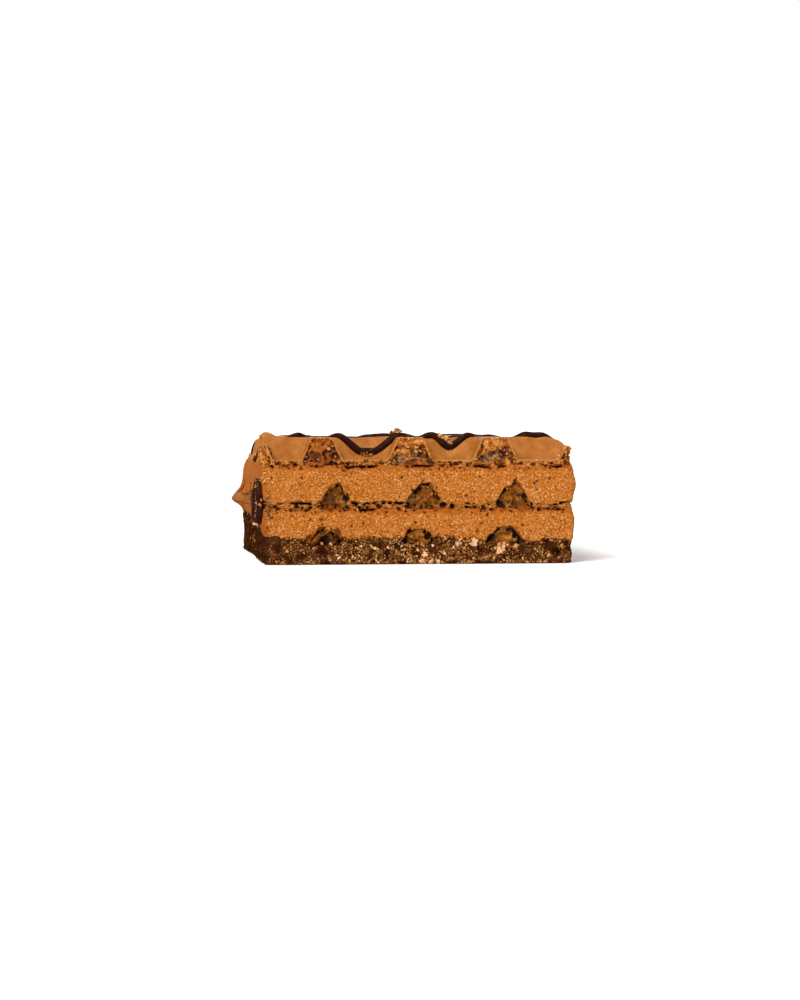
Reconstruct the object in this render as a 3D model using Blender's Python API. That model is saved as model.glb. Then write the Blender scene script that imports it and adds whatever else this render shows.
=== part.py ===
"""Wafer biscuit: three deep-pocket wafer sheets with two cream layers between them, standing in a
dipped chocolate tray, with thin chocolate strands trailed over the top sheet.

Run with: blender --background --python part.py
Metres, +Z up. The origin is at the middle of the underside, +X runs to the right along the cut
front face and +Y runs from that face to the back.
"""

import math

import bmesh
import bpy
from mathutils import Matrix, Vector, noise

MM = 0.001
TINY = 1e-6

# Overall size.
WIDTH = 48.0 * MM
LENGTH = 54.0 * MM
CORNER_CUT = 0.2 * MM

# Levels above the table.
TRAY_FLOOR = 1.8 * MM
TRAY_RIM = 3.55 * MM
BOTTOM_SHEET_UNDERSIDE = 2.1 * MM
MIDDLE_SHEET_UNDERSIDE = 8.5 * MM
TOP_SHEET_UNDERSIDE = 15.3 * MM
SHEET_FLOOR = 0.95 * MM
RIB_RISE = {"bottom": 2.6 * MM, "middle": 3.0 * MM, "top": 3.5 * MM}
GAP = 0.3 * MM

# Tray of chocolate.
RIM_THICKNESS = 0.75 * MM
RIM_SLOPE = 0.15 * MM
RIM_TOOTH = 0.5 * MM
RIM_TOOTH_PLACES = (-20.9 * MM, -7.5 * MM, 6.2 * MM, 19.6 * MM)
RIM_TOOTH_TIP = 0.4 * MM
RIM_TOOTH_FOOT = 2.8 * MM
RIM_WAVE = 0.12 * MM
RIM_WAVE_SIZE = 2.2 * MM

# Long ribs of each sheet: left foot, left and right border of the crest, right foot, along X.
LONG_RIBS = {
    "bottom": (
        (-17.5, -15.1, -14.0, -12.0),
        (-2.7, -0.8, 0.8, 2.5),
        (10.6, 12.8, 14.6, 16.6),
    ),
    "middle": (
        (-29.2, -26.6, -25.8, -23.2),
        (-15.9, -13.3, -12.4, -10.4),
        (-2.5, 0.5, 1.7, 4.0),
        (11.6, 14.3, 16.0, 17.8),
    ),
    "top": (
        (-29.0, -27.0, -24.2, -22.8),
        (-18.4, -16.7, -13.7, -11.8),
        (-5.4, -3.7, 0.6, 2.2),
        (8.5, 10.2, 14.0, 15.7),
        (22.0, 23.7, 26.0, 28.0),
    ),
}

# Cross ribs: the middle of each along Y, and their width at the crest and at the foot.
CROSS_RIBS = {
    "bottom": (-20.9, -7.5, 6.2, 19.6),
    "middle": (-19.6, -6.1, 7.3, 20.8),
    "top": (-20.3, -6.8, 6.8, 20.3),
}
PIT_MIDDLES = (-13.6, 0.0, 13.6)
CREST_WIDTH = {"bottom": 1.5, "middle": 1.4, "top": 2.6}
FOOT_WIDTH = {"bottom": 5.6, "middle": 6.0, "top": 6.8}
EDGE_MARGIN = {"bottom": 2.0 * MM, "middle": 0.5 * MM, "top": 0.5 * MM}

# V notches in the top sheet's cross ribs: where they lie along X, and how deep each is as a share
# of the rise, a row per cross rib from the front.
NOTCH_PLACES = (-21.0, -7.8, 5.8, 19.4)
NOTCHES = (
    (0.0, 0.72, 0.55, 0.05),
    (0.35, 0.05, 0.1, 0.45),
    (0.5, 0.45, 0.6, 0.3),
    (0.15, 0.4, 0.2, 0.5),
)

# Wear of the top sheet: the left edge chipped toward the back, the right edge and the back lower,
# and one crest at the front of the left edge standing taller.
CHIP_FROM_Y = -17.0 * MM
CHIP_LENGTH = 12.0 * MM
CHIP_REACH = 2.6 * MM
CHIP_DEPTH = 0.88
RIGHT_WEAR_FROM_X = 21.0 * MM
RIGHT_WEAR_LENGTH = 2.5 * MM
RIGHT_WEAR = 0.16
BACK_WEAR = 0.05
CREST_BUMP = 0.75 * MM
CREST_BUMP_RADIUS = 2.2 * MM

# Outline: creams swell, sheets stay back, and a flake stands out at the back of the left side.
SWELL = {"front": 0.12 * MM, "back": 0.4 * MM, "left": 0.3 * MM, "right": 1.0 * MM}
CRAG = 0.22 * MM
CRAG_SIZE = 3.2 * MM
FLAKE_REACH = 2.2 * MM
FLAKE_LEVEL = 8.7 * MM
FLAKE_ABOVE = 1.7 * MM
FLAKE_BELOW = 1.1 * MM
FLAKE_FROM_Y = 6.0 * MM
FLAKE_RISE_Y = 10.0 * MM
LEFT_TAPER = 0.5 * MM
LEFT_TAPER_FROM_Y = -15.0 * MM
LEFT_TAPER_LENGTH = 22.0 * MM
LEFT_BEVEL = 0.3 * MM
LEFT_BEVEL_LEVEL = 14.0 * MM
LEFT_BEVEL_HEIGHT = 3.0 * MM
NODE_REACH = 0.5 * MM
NODE_LENGTH = 5.0 * MM
WAVE = 0.1 * MM
WAVE_SIZE = 11.0 * MM

# Chocolate strands: distance from the middle, sideways wave, and the level where each end stops.
STRAND_RADIUS = 0.45 * MM
STRAND_LIFT = 0.02 * MM
STRAND_SPAN = 1.2 * MM
STRAND_SAG = 0.3
STRAND_STEP = 1.6 * MM
STRAND_WAVE_LENGTH = 31.0 * MM
STRANDS = (
    {"y": -20.3 * MM, "wave": 0.3 * MM, "left": 6.4 * MM, "right": 17.0 * MM},
    {"y": -6.3 * MM, "wave": 1.3 * MM, "left": 11.5 * MM, "right": 5.6 * MM},
    {"y": 7.4 * MM, "wave": 1.6 * MM, "left": 5.6 * MM, "right": 10.5 * MM},
    {"y": 20.6 * MM, "wave": 1.1 * MM, "left": 15.8 * MM, "right": 7.0 * MM},
)

WALL_ROWS = {"tray": 3, "sheet": 3, "cream": 4}

COLOURS = {
    "wafer": (0.50, 0.20, 0.045, 1.0),
    "cream": (0.60, 0.23, 0.055, 1.0),
    "chocolate": (0.045, 0.016, 0.007, 1.0),
}


def smooth(share):
    """Smooth step from 0 to 1."""
    share = min(max(share, 0.0), 1.0)
    return share * share * (3.0 - 2.0 * share)


def tent(distance, flat_half, foot_half):
    """1 within flat_half, falling in a straight line to 0 at foot_half."""
    return min(max((foot_half - abs(distance)) / (foot_half - flat_half), 0.0), 1.0)


def trapezoid(place, corners):
    """0 outside the feet, 1 between the crest's borders and straight lines between them."""
    left_foot, left_crest, right_crest, right_foot = (c * MM for c in corners)
    rising = (place - left_foot) / (left_crest - left_foot)
    falling = (right_foot - place) / (right_foot - right_crest)
    return min(max(min(rising, falling), 0.0), 1.0)


def wander(x, y, z, size, seed):
    """Smooth noise from about -1 to 1 with bumps of that size."""
    return noise.noise(Vector((x / size + seed, y / size - seed, z / size + 0.37 * seed)))


# ---------------------------------------------------------------- relief of the sheets


def cross_corners(sheet):
    """Feet and crest borders of each cross rib, along Y."""
    crest = CREST_WIDTH[sheet] / 2
    foot = FOOT_WIDTH[sheet] / 2
    return [(c - foot, c - crest, c + crest, c + foot) for c in CROSS_RIBS[sheet]]


def notched(x, row):
    """What the V notches of that row leave of the top sheet's cross rib."""
    left = 1.0
    ribs = LONG_RIBS["top"]
    for column, (before, after) in enumerate(zip(ribs, ribs[1:])):
        middle = NOTCH_PLACES[column]
        corners = (before[2], middle - TINY, middle + TINY, after[1])
        left = min(left, 1.0 - NOTCHES[row][column] * trapezoid(x, corners))
    return left


def cross_rib(sheet, x, y):
    """Height share of the ribs that run along X."""
    best = 0.0
    for row, corners in enumerate(cross_corners(sheet)):
        share = trapezoid(y, corners)
        if sheet == "top" and share > 0.0:
            share *= notched(x, row)
        best = max(best, share)
    return best


def long_rib(sheet, x):
    """Height share of the ribs that run along Y."""
    return max(trapezoid(x, corners) for corners in LONG_RIBS[sheet])


def worn(x, y):
    """Share of the top sheet's relief that wear has left."""
    along = smooth((y - CHIP_FROM_Y) / CHIP_LENGTH)
    inward = 1.0 - smooth((x + WIDTH / 2) / CHIP_REACH)
    right = smooth((x - RIGHT_WEAR_FROM_X) / RIGHT_WEAR_LENGTH)
    back = y / LENGTH + 0.5
    return (1.0 - CHIP_DEPTH * along * inward) * (1.0 - RIGHT_WEAR * right) - BACK_WEAR * back


def crest_bump(x, y):
    """The one crest at the front of the left edge that stands taller."""
    away = math.hypot(x + WIDTH / 2, y - CROSS_RIBS["top"][0] * MM)
    return CREST_BUMP * smooth(1.0 - away / CREST_BUMP_RADIUS)


def relief(sheet, x, y):
    """Height of a sheet's upper face above its floor."""
    rise = RIB_RISE[sheet] * max(long_rib(sheet, x), cross_rib(sheet, x, y))
    if sheet == "top":
        rise = rise * worn(x, y) + crest_bump(x, y)
    return rise + WAVE * wander(x, y, 0.0, WAVE_SIZE, 3.0)


UNDERSIDES = {
    "bottom": BOTTOM_SHEET_UNDERSIDE,
    "middle": MIDDLE_SHEET_UNDERSIDE,
    "top": TOP_SHEET_UNDERSIDE,
}


def upper_face(sheet, x, y):
    """Level of a sheet's ribbed upper face."""
    return UNDERSIDES[sheet] + SHEET_FLOOR + relief(sheet, x, y)


# ---------------------------------------------------------------- outline of the sides


def rim_level(x, y):
    """Top of the chocolate rim: nearly level in front, in low teeth over the rib ends elsewhere."""
    if LENGTH / 2 - abs(y) > WIDTH / 2 - abs(x):
        wave = wander(y, x // WIDTH, 0.0, RIM_WAVE_SIZE, 5.0)
        teeth = max(tent(y - c, RIM_TOOTH_TIP, RIM_TOOTH_FOOT) for c in RIM_TOOTH_PLACES)
        return TRAY_RIM + RIM_WAVE * wave + RIM_TOOTH * teeth
    wave = wander(x, y // LENGTH, 0.0, RIM_WAVE_SIZE, 8.0)
    teeth = long_rib("bottom", x) if y > 0 else 0.0
    return TRAY_RIM + RIM_WAVE * wave + RIM_TOOTH * teeth


def swell(z):
    """1 at the middle height of each cream layer, 0 at the sheets and some at the foot."""
    lower = math.exp(-(((z - 6.3 * MM) / (1.6 * MM)) ** 2))
    upper = math.exp(-(((z - 12.4 * MM) / (2.0 * MM)) ** 2))
    foot = math.exp(-(((z - 1.3 * MM) / (1.1 * MM)) ** 2))
    return 0.75 * lower + upper + 0.5 * foot


def flake(y, z):
    """Share of the flake that stands out of the left side, at the middle sheet's level."""
    spread = FLAKE_ABOVE if z > FLAKE_LEVEL else FLAKE_BELOW
    level = math.exp(-(((z - FLAKE_LEVEL) / spread) ** 2))
    return level * smooth((y - FLAKE_FROM_Y) / FLAKE_RISE_Y)


def outward(side, along, z):
    """How far a side stands out at this place: side is 'front', 'back', 'left' or 'right'."""
    seed = {"front": 11.0, "back": 17.0, "left": 23.0, "right": 29.0}[side]
    reach = CRAG * wander(along, z, 0.0, CRAG_SIZE, seed) + SWELL[side] * swell(z)
    if side == "left":
        back = smooth((along - LEFT_TAPER_FROM_Y) / LEFT_TAPER_LENGTH)
        above = smooth((z - LEFT_BEVEL_LEVEL) / LEFT_BEVEL_HEIGHT)
        reach += FLAKE_REACH * flake(along, z) - (LEFT_TAPER + LEFT_BEVEL * above) * back
        node = tent(along - CROSS_RIBS["top"][0] * MM, 0.0, NODE_LENGTH)
        reach += NODE_REACH * smooth(node) * above
    return reach


def shaped(x, y, z, behind_rim):
    """A point of the plain block moved to the real outline. Points inside the block stay."""
    on_x = abs(abs(x) - WIDTH / 2) < TINY
    on_y = abs(abs(y) - LENGTH / 2) < TINY
    free = 1.0
    if behind_rim:
        free = smooth((z - rim_level(x, y) - GAP) / GAP)
    inset = (RIM_THICKNESS + 2.5 * GAP) * (1.0 - free)
    if on_x and on_y:
        inset += CORNER_CUT
    place = Vector((x, y, z))
    if on_x:
        side, sign = ("right", 1.0) if x > 0 else ("left", -1.0)
        place.x += sign * (free * outward(side, y, z) - inset)
    if on_y:
        side, sign = ("back", 1.0) if y > 0 else ("front", -1.0)
        place.y += sign * (free * outward(side, x, z) - inset)
    return place


# ---------------------------------------------------------------- building slabs


def grid_lines(ribs, between, size, margin):
    """Cell borders of a ribbed face along one axis: each rib's feet and crest, and in between."""
    found = [corner * MM for corners in ribs for corner in corners]
    found += [place * MM for place in between]
    reach = size / 2 - margin
    inside = sorted(v for v in found if abs(v) < reach)
    return [-size / 2, *inside, size / 2]


def rimmed(lines):
    """The same lines with the inner border of the tray's rim added at both ends."""
    margins = (RIM_THICKNESS, RIM_THICKNESS + RIM_SLOPE)
    first = [lines[0] + m for m in margins]
    last = [lines[-1] - m for m in reversed(margins)]
    return [lines[0], *first, *lines[1:-1], *last, lines[-1]]


def grid_face(xs, ys, level):
    """A grid primitive whose vertices are moved to the lines xs and ys, at level(x, y)."""
    bm = bmesh.new()
    bmesh.ops.create_grid(bm, x_segments=len(xs) - 1, y_segments=len(ys) - 1, size=1.0)
    for vertex in bm.verts:
        column = round((vertex.co.x + 1.0) / 2.0 * (len(xs) - 1))
        row = round((vertex.co.y + 1.0) / 2.0 * (len(ys) - 1))
        x = xs[column]
        y = ys[row]
        vertex.co = Vector((x, y, level(x, y)))
    return bm


def fold_quads(bm):
    """Splits each quad along the diagonal whose middle lies lower, which keeps valleys crisp."""
    for face in list(bm.faces):
        if len(face.verts) != 4:
            continue
        a, b, c, d = face.verts
        if a.co.z + c.co.z <= b.co.z + d.co.z:
            bmesh.utils.face_split(face, a, c)
        else:
            bmesh.utils.face_split(face, b, d)


def wall_levels(x, y, start, end, rows, behind_rim):
    """Levels of a wall's rows. A wall that passes behind the rim steps back just above it."""
    rim = rim_level(x, y)
    if behind_rim and end < rim:
        if start > rim + 4 * GAP:
            return [min(rim + 5 * GAP, start - GAP / 2), rim + GAP, end]
        return [start - GAP / 2, (start + end) / 2, end]
    if behind_rim and start < rim + GAP / 2:
        return [rim + GAP, rim + 2 * GAP, (rim + 2 * GAP + end) / 2, end]
    return [start + (end - start) * row / rows for row in range(1, rows + 1)]


def add_walls(bm, level, rows, behind_rim):
    """Extrudes the open border in rows to level(x, y), then closes it with one face."""
    border = [edge for edge in bm.edges if edge.is_boundary]
    start = {}
    for edge in border:
        for vertex in edge.verts:
            start[(vertex.co.x, vertex.co.y)] = vertex.co.z
    for row in range(1, rows + 1):
        made = bmesh.ops.extrude_edge_only(bm, edges=border)["geom"]
        border = [item for item in made if isinstance(item, bmesh.types.BMEdge)]
        for vertex in {v for edge in border for v in edge.verts}:
            x, y, _ = vertex.co
            levels = wall_levels(x, y, start[(x, y)], level(x, y), rows, behind_rim)
            vertex.co.z = levels[row - 1]
    bmesh.ops.holes_fill(bm, edges=border)


def finish(bm, name, material, collection):
    """Turns the working mesh into a named, smooth-shaded object with outward faces."""
    bmesh.ops.recalc_face_normals(bm, faces=bm.faces)
    bmesh.ops.triangulate(bm, faces=bm.faces)
    mesh = bpy.data.meshes.new(name)
    bm.to_mesh(mesh)
    bm.free()
    mesh.shade_smooth()
    mesh.set_sharp_from_angle(angle=math.radians(35))
    mesh.materials.append(material)
    made = bpy.data.objects.new(name, mesh)
    collection.objects.link(made)
    return made


def slab(name, lines, ribbed, plain, rows, material, collection, behind_rim=False):
    """A layer: a ribbed face on a grid, walls in rows, and a plain face that closes it."""
    xs, ys = lines
    bm = grid_face(xs, ys, ribbed)
    fold_quads(bm)
    add_walls(bm, plain, rows, behind_rim)
    for vertex in bm.verts:
        vertex.co = shaped(*vertex.co, behind_rim)
    return finish(bm, name, material, collection)


def sheet_lines(sheet):
    """Grid lines of a sheet's ribs along X and along Y."""
    margin = EDGE_MARGIN[sheet]
    across = grid_lines(LONG_RIBS[sheet], NOTCH_PLACES, WIDTH, margin)
    back = grid_lines(cross_corners(sheet), PIT_MIDDLES, LENGTH, margin)
    return across, back


# ---------------------------------------------------------------- the pieces


def make_sheet(sheet, material, collection):
    """A wafer sheet: flat underside, ribs up."""
    return slab(
        f"wafer_{sheet}",
        sheet_lines(sheet),
        lambda x, y: upper_face(sheet, x, y),
        lambda x, y: UNDERSIDES[sheet],
        WALL_ROWS["sheet"],
        material,
        collection,
        behind_rim=sheet == "bottom",
    )


def make_cream(name, below, above, material, collection):
    """A cream layer: pressed over the ribs of the sheet below, flat under the sheet above."""
    return slab(
        name,
        sheet_lines(below),
        lambda x, y: upper_face(below, x, y) + GAP,
        lambda x, y: UNDERSIDES[above] - GAP,
        WALL_ROWS["cream"],
        material,
        collection,
        behind_rim=below == "bottom",
    )


def make_tray(material, collection):
    """The dipped base: a flat block with a thin rim that wraps the lowest sheet."""
    xs, ys = sheet_lines("bottom")

    def level(x, y):
        edge = min(WIDTH / 2 - abs(x), LENGTH / 2 - abs(y))
        return rim_level(x, y) if edge < RIM_THICKNESS + 1e-6 else TRAY_FLOOR

    return slab(
        "chocolate_base",
        (rimmed(xs), rimmed(ys)),
        level,
        lambda x, y: 0.0,
        WALL_ROWS["tray"],
        material,
        collection,
    )


def strand_points(strand):
    """Centre line of one strand: down the left side, over the ribs and down the right side."""

    def sideways(x):
        turn = 2.0 * math.pi * x / STRAND_WAVE_LENGTH
        return strand["y"] + strand["wave"] * math.sin(turn + 50.0 * strand["y"])

    def drop(side, sign, stop):
        y = sideways(sign * WIDTH / 2)
        top = upper_face("top", sign * (WIDTH / 2 - 0.5 * MM), y)
        count = max(2, round((top - stop) / STRAND_STEP))
        down = []
        for i in range(1, count + 1):
            z = top + (stop - top) * i / count
            out = max(outward(side, y, z + d) for d in (-0.6 * MM, 0.0, 0.6 * MM))
            x = WIDTH / 2 + out + GAP + STRAND_RADIUS
            down.append(Vector((sign * x, y, z)))
        return down

    count = round((WIDTH - 1.0 * MM) / STRAND_STEP)
    over = []
    for i in range(count + 1):
        x = (-0.5 + i / count) * (WIDTH - 1.0 * MM)
        y = sideways(x)
        here = upper_face("top", x, y)
        beside = max(upper_face("top", x + d, y) for d in (-STRAND_SPAN, STRAND_SPAN))
        sag = STRAND_SAG * smooth((WIDTH / 2 - abs(x)) / CHIP_REACH)
        over.append(Vector((x, y, here + sag * max(beside - here, 0.0) + STRAND_LIFT)))
    left = drop("left", -1.0, strand["left"])
    right = drop("right", 1.0, strand["right"])
    return [*reversed(left), *over, *right]


def make_strand(number, strand, material, collection):
    """One chocolate strand as a closed round tube."""
    curve = bpy.data.curves.new(f"strand_{number}", "CURVE")
    curve.dimensions = "3D"
    curve.bevel_depth = STRAND_RADIUS
    curve.bevel_resolution = 1
    curve.use_fill_caps = True
    points = strand_points(strand)
    spline = curve.splines.new("POLY")
    spline.points.add(len(points) - 1)
    for place, point in zip(spline.points, points):
        place.co = (*point, 1.0)
    guide = bpy.data.objects.new(f"strand_{number}", curve)
    collection.objects.link(guide)
    bpy.context.view_layer.update()
    graph = bpy.context.evaluated_depsgraph_get()
    mesh = bpy.data.meshes.new_from_object(guide.evaluated_get(graph))
    bm = bmesh.new()
    bm.from_mesh(mesh)
    bmesh.ops.remove_doubles(bm, verts=bm.verts, dist=0.01 * MM)
    bmesh.ops.recalc_face_normals(bm, faces=bm.faces)
    bm.to_mesh(mesh)
    bm.free()
    mesh.materials.clear()
    mesh.materials.append(material)
    made = bpy.data.objects.new(f"strand_{number}_solid", mesh)
    made.matrix_world = guide.matrix_world
    collection.objects.link(made)
    bpy.data.objects.remove(guide)
    return made


def fuse(target, collection):
    """Joins the collection's objects to the target with one union, and removes them."""
    union = target.modifiers.new("fuse strands", "BOOLEAN")
    union.operation = "UNION"
    union.operand_type = "COLLECTION"
    union.collection = collection
    union.solver = "EXACT"
    bpy.context.view_layer.objects.active = target
    bpy.ops.object.modifier_apply(modifier=union.name)
    for extra in list(collection.objects):
        bpy.data.objects.remove(extra)
    bpy.data.collections.remove(collection)


def centre(objects):
    """Moves all meshes alike so that the whole stands centred on the origin, on the table."""
    points = [v.co for made in objects for v in made.data.vertices]
    low = Vector(min(p[i] for p in points) for i in range(3))
    high = Vector(max(p[i] for p in points) for i in range(3))
    middle = (low + high) / 2
    move = Matrix.Translation(Vector((-middle.x, -middle.y, -low.z)))
    for made in objects:
        made.data.transform(move)


def make_material(name):
    """A matte Principled material in one of the biscuit's colours."""
    material = bpy.data.materials.new(name)
    material.use_nodes = True
    shader = material.node_tree.nodes["Principled BSDF"]
    shader.inputs["Base Color"].default_value = COLOURS[name]
    shader.inputs["Roughness"].default_value = 0.45 if name == "chocolate" else 0.8
    shader.inputs["Metallic"].default_value = 0.0
    return material


def new_collection(name):
    made = bpy.data.collections.new(name)
    bpy.context.scene.collection.children.link(made)
    return made


def main():
    for leftover in list(bpy.data.objects):
        bpy.data.objects.remove(leftover)
    wafer = make_material("wafer")
    cream = make_material("cream")
    chocolate = make_material("chocolate")
    biscuit = new_collection("wafer_biscuit")
    make_tray(chocolate, biscuit)
    make_sheet("bottom", wafer, biscuit)
    make_cream("cream_lower", "bottom", "middle", cream, biscuit)
    make_sheet("middle", wafer, biscuit)
    make_cream("cream_upper", "middle", "top", cream, biscuit)
    top = make_sheet("top", wafer, biscuit)
    strands = new_collection("strands")
    for number, strand in enumerate(STRANDS):
        make_strand(number, strand, chocolate, strands)
    fuse(top, strands)
    centre(list(biscuit.objects))


main()
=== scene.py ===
"""Wafer biscuit: ribbed wafer sheets, cream and a crumbed chocolate base, with chocolate strands.

Laid out as an add-on: an operator for each group of like pieces, one for the stage, and a panel in
the 3D view. Lengths in the shape functions are millimetres; meshes are written in metres.
"""

import math

import bpy
import numpy as np
from bpy.props import FloatProperty, FloatVectorProperty, IntProperty, PointerProperty
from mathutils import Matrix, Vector


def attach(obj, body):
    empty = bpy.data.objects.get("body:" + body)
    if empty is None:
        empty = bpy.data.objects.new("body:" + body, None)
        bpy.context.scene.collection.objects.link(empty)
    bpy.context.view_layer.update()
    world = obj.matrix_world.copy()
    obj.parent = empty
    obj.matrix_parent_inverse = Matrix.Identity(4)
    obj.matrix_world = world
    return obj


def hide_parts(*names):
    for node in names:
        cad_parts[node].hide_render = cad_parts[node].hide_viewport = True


bl_info = {
    "name": "Wafer biscuit",
    "version": (1, 0, 0),
    "blender": (4, 5, 0),
    "location": "View3D > Sidebar > Biscuit",
    "description": "Builds a layered wafer biscuit piece by piece",
    "category": "Object",
}

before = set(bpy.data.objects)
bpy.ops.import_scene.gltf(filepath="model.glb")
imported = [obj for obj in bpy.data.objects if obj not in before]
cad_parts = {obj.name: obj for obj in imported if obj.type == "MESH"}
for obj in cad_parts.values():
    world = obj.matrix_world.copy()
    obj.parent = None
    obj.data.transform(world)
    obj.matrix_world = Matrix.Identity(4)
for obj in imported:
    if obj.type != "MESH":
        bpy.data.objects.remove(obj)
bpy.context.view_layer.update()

MM = 0.001

# Radii in mm that the strands' and crumbs' sizes are given for.
USUAL_STRAND = 0.5
USUAL_CRUMB = 0.3

# Main colour of each finish, as sRGB hex.
MAIN_TONES = {
    "skin_colour": "985A20",
    "foam_colour": "8C4608",
    "soaked_colour": "723A05",
    "cream_colour": "AC6826",
    "chocolate_colour": "321406",
    "strand_colour": "260E04",
    "crumb_colour": "A67440",
}

# Half sizes of the plain block that the layers fill, and where its middle lies in the frame.
HALF_WIDTH = 24.0
HALF_LENGTH = 27.0
ORIGIN_SHIFT = (-0.135, -0.12)
# Where each side's plain wall lies: along Y for front and back, along X for right and left.
WALLS = {"front": -HALF_LENGTH, "right": HALF_WIDTH, "back": HALF_LENGTH, "left": -HALF_WIDTH}
# How far the layers swell out of each side.
SWELL = {"front": 0.12, "back": 0.4, "left": 0.3, "right": 0.55}
# A side's swelling fades to nothing over this depth, and the upright corners are rounded.
SWELL_REACH = 3.0
CORNER_RADIUS = 0.8

# Levels of the layers above the table, the ribs' heights and the rim of the chocolate tray.
UNDERSIDE = {"bottom": 2.1, "middle": 8.5, "top": 15.3}
SHEET_FLOOR = 0.95
RIB_RISE = {"bottom": 2.6, "middle": 3.0, "top": 3.5}
TRAY_FLOOR = 1.8
RIM_LEVEL = 3.95
RIM_THICKNESS = 0.75
# Levels where the sides swell most.
LOWER_CREAM_MIDDLE = 6.3
UPPER_CREAM_MIDDLE = 12.4
FOOT_BULGE = 1.3
# Level of the flake of cream that stands out of the left side.
FLAKE_LEVEL = 8.7
# Thickness of the air between a cream layer and the sheets it touches.
CREAM_GAP = 0.02

# Steps between the points of a cut wall, in the layers and in the top sheet. Behind the front band
# the steps along the left and right walls are longer by the given factor.
LAYER_STEP = 0.125
TOP_STEP = 0.16
FRONT_BAND = 6.4
LONGER_STEPS = 1.8
# Rows of points down each cut wall, and rings of points over a face as shares of the way out.
SHEET_ROWS = 28
TOP_ROWS = 26
CREAM_ROWS = 34
TRAY_ROWS = 24
RINGS = (0.05, 0.12, 0.19, 0.26, 0.33, 0.4, 0.47, 0.54, 0.61, 0.68, 0.75, 0.82, 0.88, 0.94)

# Long ribs, which run along Y. Places along X: left foot, left and right border of the crest and
# right foot.
LONG_RIBS = {
    "bottom": (
        (-18.1, -15.5, -13.9, -11.5),
        (-3.4, -1.2, 1.0, 3.0),
        (9.8, 12.4, 14.7, 17.0),
    ),
    "middle": (
        (-29.2, -26.6, -25.8, -23.2),
        (-15.9, -13.3, -12.4, -10.4),
        (-2.5, 0.5, 1.7, 4.0),
        (11.6, 14.3, 16.0, 17.8),
    ),
    "top": (
        (-29.0, -27.0, -24.2, -22.8),
        (-18.4, -16.7, -13.7, -11.8),
        (-5.0, -2.9, 0.6, 2.2),
        (8.5, 10.2, 14.0, 15.7),
        (22.0, 23.7, 26.0, 28.0),
    ),
}
# Cross ribs, which run along X: their middles along Y, and their widths at crest and foot.
CROSS_RIBS = {
    "bottom": (-20.9, -7.5, 6.2, 19.6),
    "middle": (-19.6, -6.1, 7.3, 20.8),
    "top": (-20.3, -6.8, 6.8, 20.3),
}
CREST_WIDTH = {"bottom": 1.5, "middle": 1.4, "top": 2.6}
FOOT_WIDTH = {"bottom": 5.6, "middle": 6.0, "top": 6.8}
RIB_ROUNDING = {"bottom": 0.5, "middle": 0.4, "top": 0.45}
# V notches in the top sheet's cross ribs: their middles along X, half the width of their floors,
# the corners of those in the front rib, and the depth of each as a share of the rise, a row for
# each cross rib.
NOTCH_PLACES = (-21.0, -7.8, 5.8, 19.4)
NOTCH_FLOOR = 0.2
FRONT_NOTCHES = (
    (-22.0, -21.0, -20.8, -19.0),
    (-12.0, -8.7, -6.3, -2.6),
    (3.0, 5.2, 5.7, 8.5),
    (18.0, 19.3, 19.5, 21.0),
)
NOTCHES = (
    (0.0, 0.76, 0.56, 0.05),
    (0.35, 0.05, 0.1, 0.45),
    (0.5, 0.45, 0.6, 0.3),
    (0.15, 0.4, 0.2, 0.5),
)
# Sizes of the bubbles in a cut sheet: large and middling ones in the ribs, flat ones in the floor
# and small ones in both.
LARGE_BUBBLE = 1.9
MIDDLING_BUBBLE = 0.8
SMALL_BUBBLE = 0.4
FLAT_BUBBLE = 0.75
# Left of here the front of the top sheet kept its skin, above this level.
WHOLE_END = -22.4
WHOLE_END_LEVEL = 16.6
# Middle of the rib at the front whose crumb is darkest.
DARK_RIB = -14.8


# ------------------------------------------------------------------ noise
# Every pattern has a whole number as its seed. Another seed gives another pattern.


def smooth(share):
    """Smooth step of an array, clipped to 0 and 1. smooth((value - start) / width) rises from 0
    where value is start to 1 where it is start + width."""
    share = np.clip(share, 0.0, 1.0)
    return share * share * (3.0 - 2.0 * share)


def bell(distance):
    """Bell curve: e to the power of minus the distance squared, so 1 at 0."""
    return np.exp(-(distance**2))


def hashed(ix, iy, iz, seed):
    """A repeatable number from 0 to 1 for each whole-number cell: its place times large odd
    numbers, mixed by shifts."""
    mixed = (ix * 374761393 + iy * 668265263 + iz * 2147483647 + seed * 1274126177) & 0xFFFFFFFF
    mixed = ((mixed ^ (mixed >> 13)) * 1103515245) & 0xFFFFFFFF
    mixed = ((mixed ^ (mixed >> 16)) * 2246822519) & 0xFFFFFFFF
    return ((mixed ^ (mixed >> 15)) & 0xFFFFFF) / float(0xFFFFFF)


def noise(points, size, seed):
    """Smooth noise from -1 to 1, with bumps of that size in mm, at an array of points: the hashed
    numbers of the eight cells round each point, blended by the smooth step."""
    scaled = np.asarray(points, float) / size
    cell = np.floor(scaled).astype(np.int64)
    share = smooth(scaled - cell)
    total = 0.0
    for dx in (0, 1):
        for dy in (0, 1):
            for dz in (0, 1):
                weight = (
                    np.abs(1 - dx - share[..., 0])
                    * np.abs(1 - dy - share[..., 1])
                    * np.abs(1 - dz - share[..., 2])
                )
                value = hashed(cell[..., 0] + dx, cell[..., 1] + dy, cell[..., 2] + dz, seed)
                total = total + weight * value
    return 2.0 * total - 1.0


def rough(points, size, seed, octaves=3):
    """Noise of several sizes, each half as large and half as strong as the one before."""
    total, strength = 0.0, 1.0
    for octave in range(octaves):
        total = total + strength * noise(points, size / 2**octave, seed + 17 * octave)
        strength *= 0.5
    return total / (2.0 - 2.0 ** (1 - octaves))


# Width of the middle part of a cell in which the scattered seeds of cells() lie, as a share of it.
JITTER = 0.9


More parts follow.
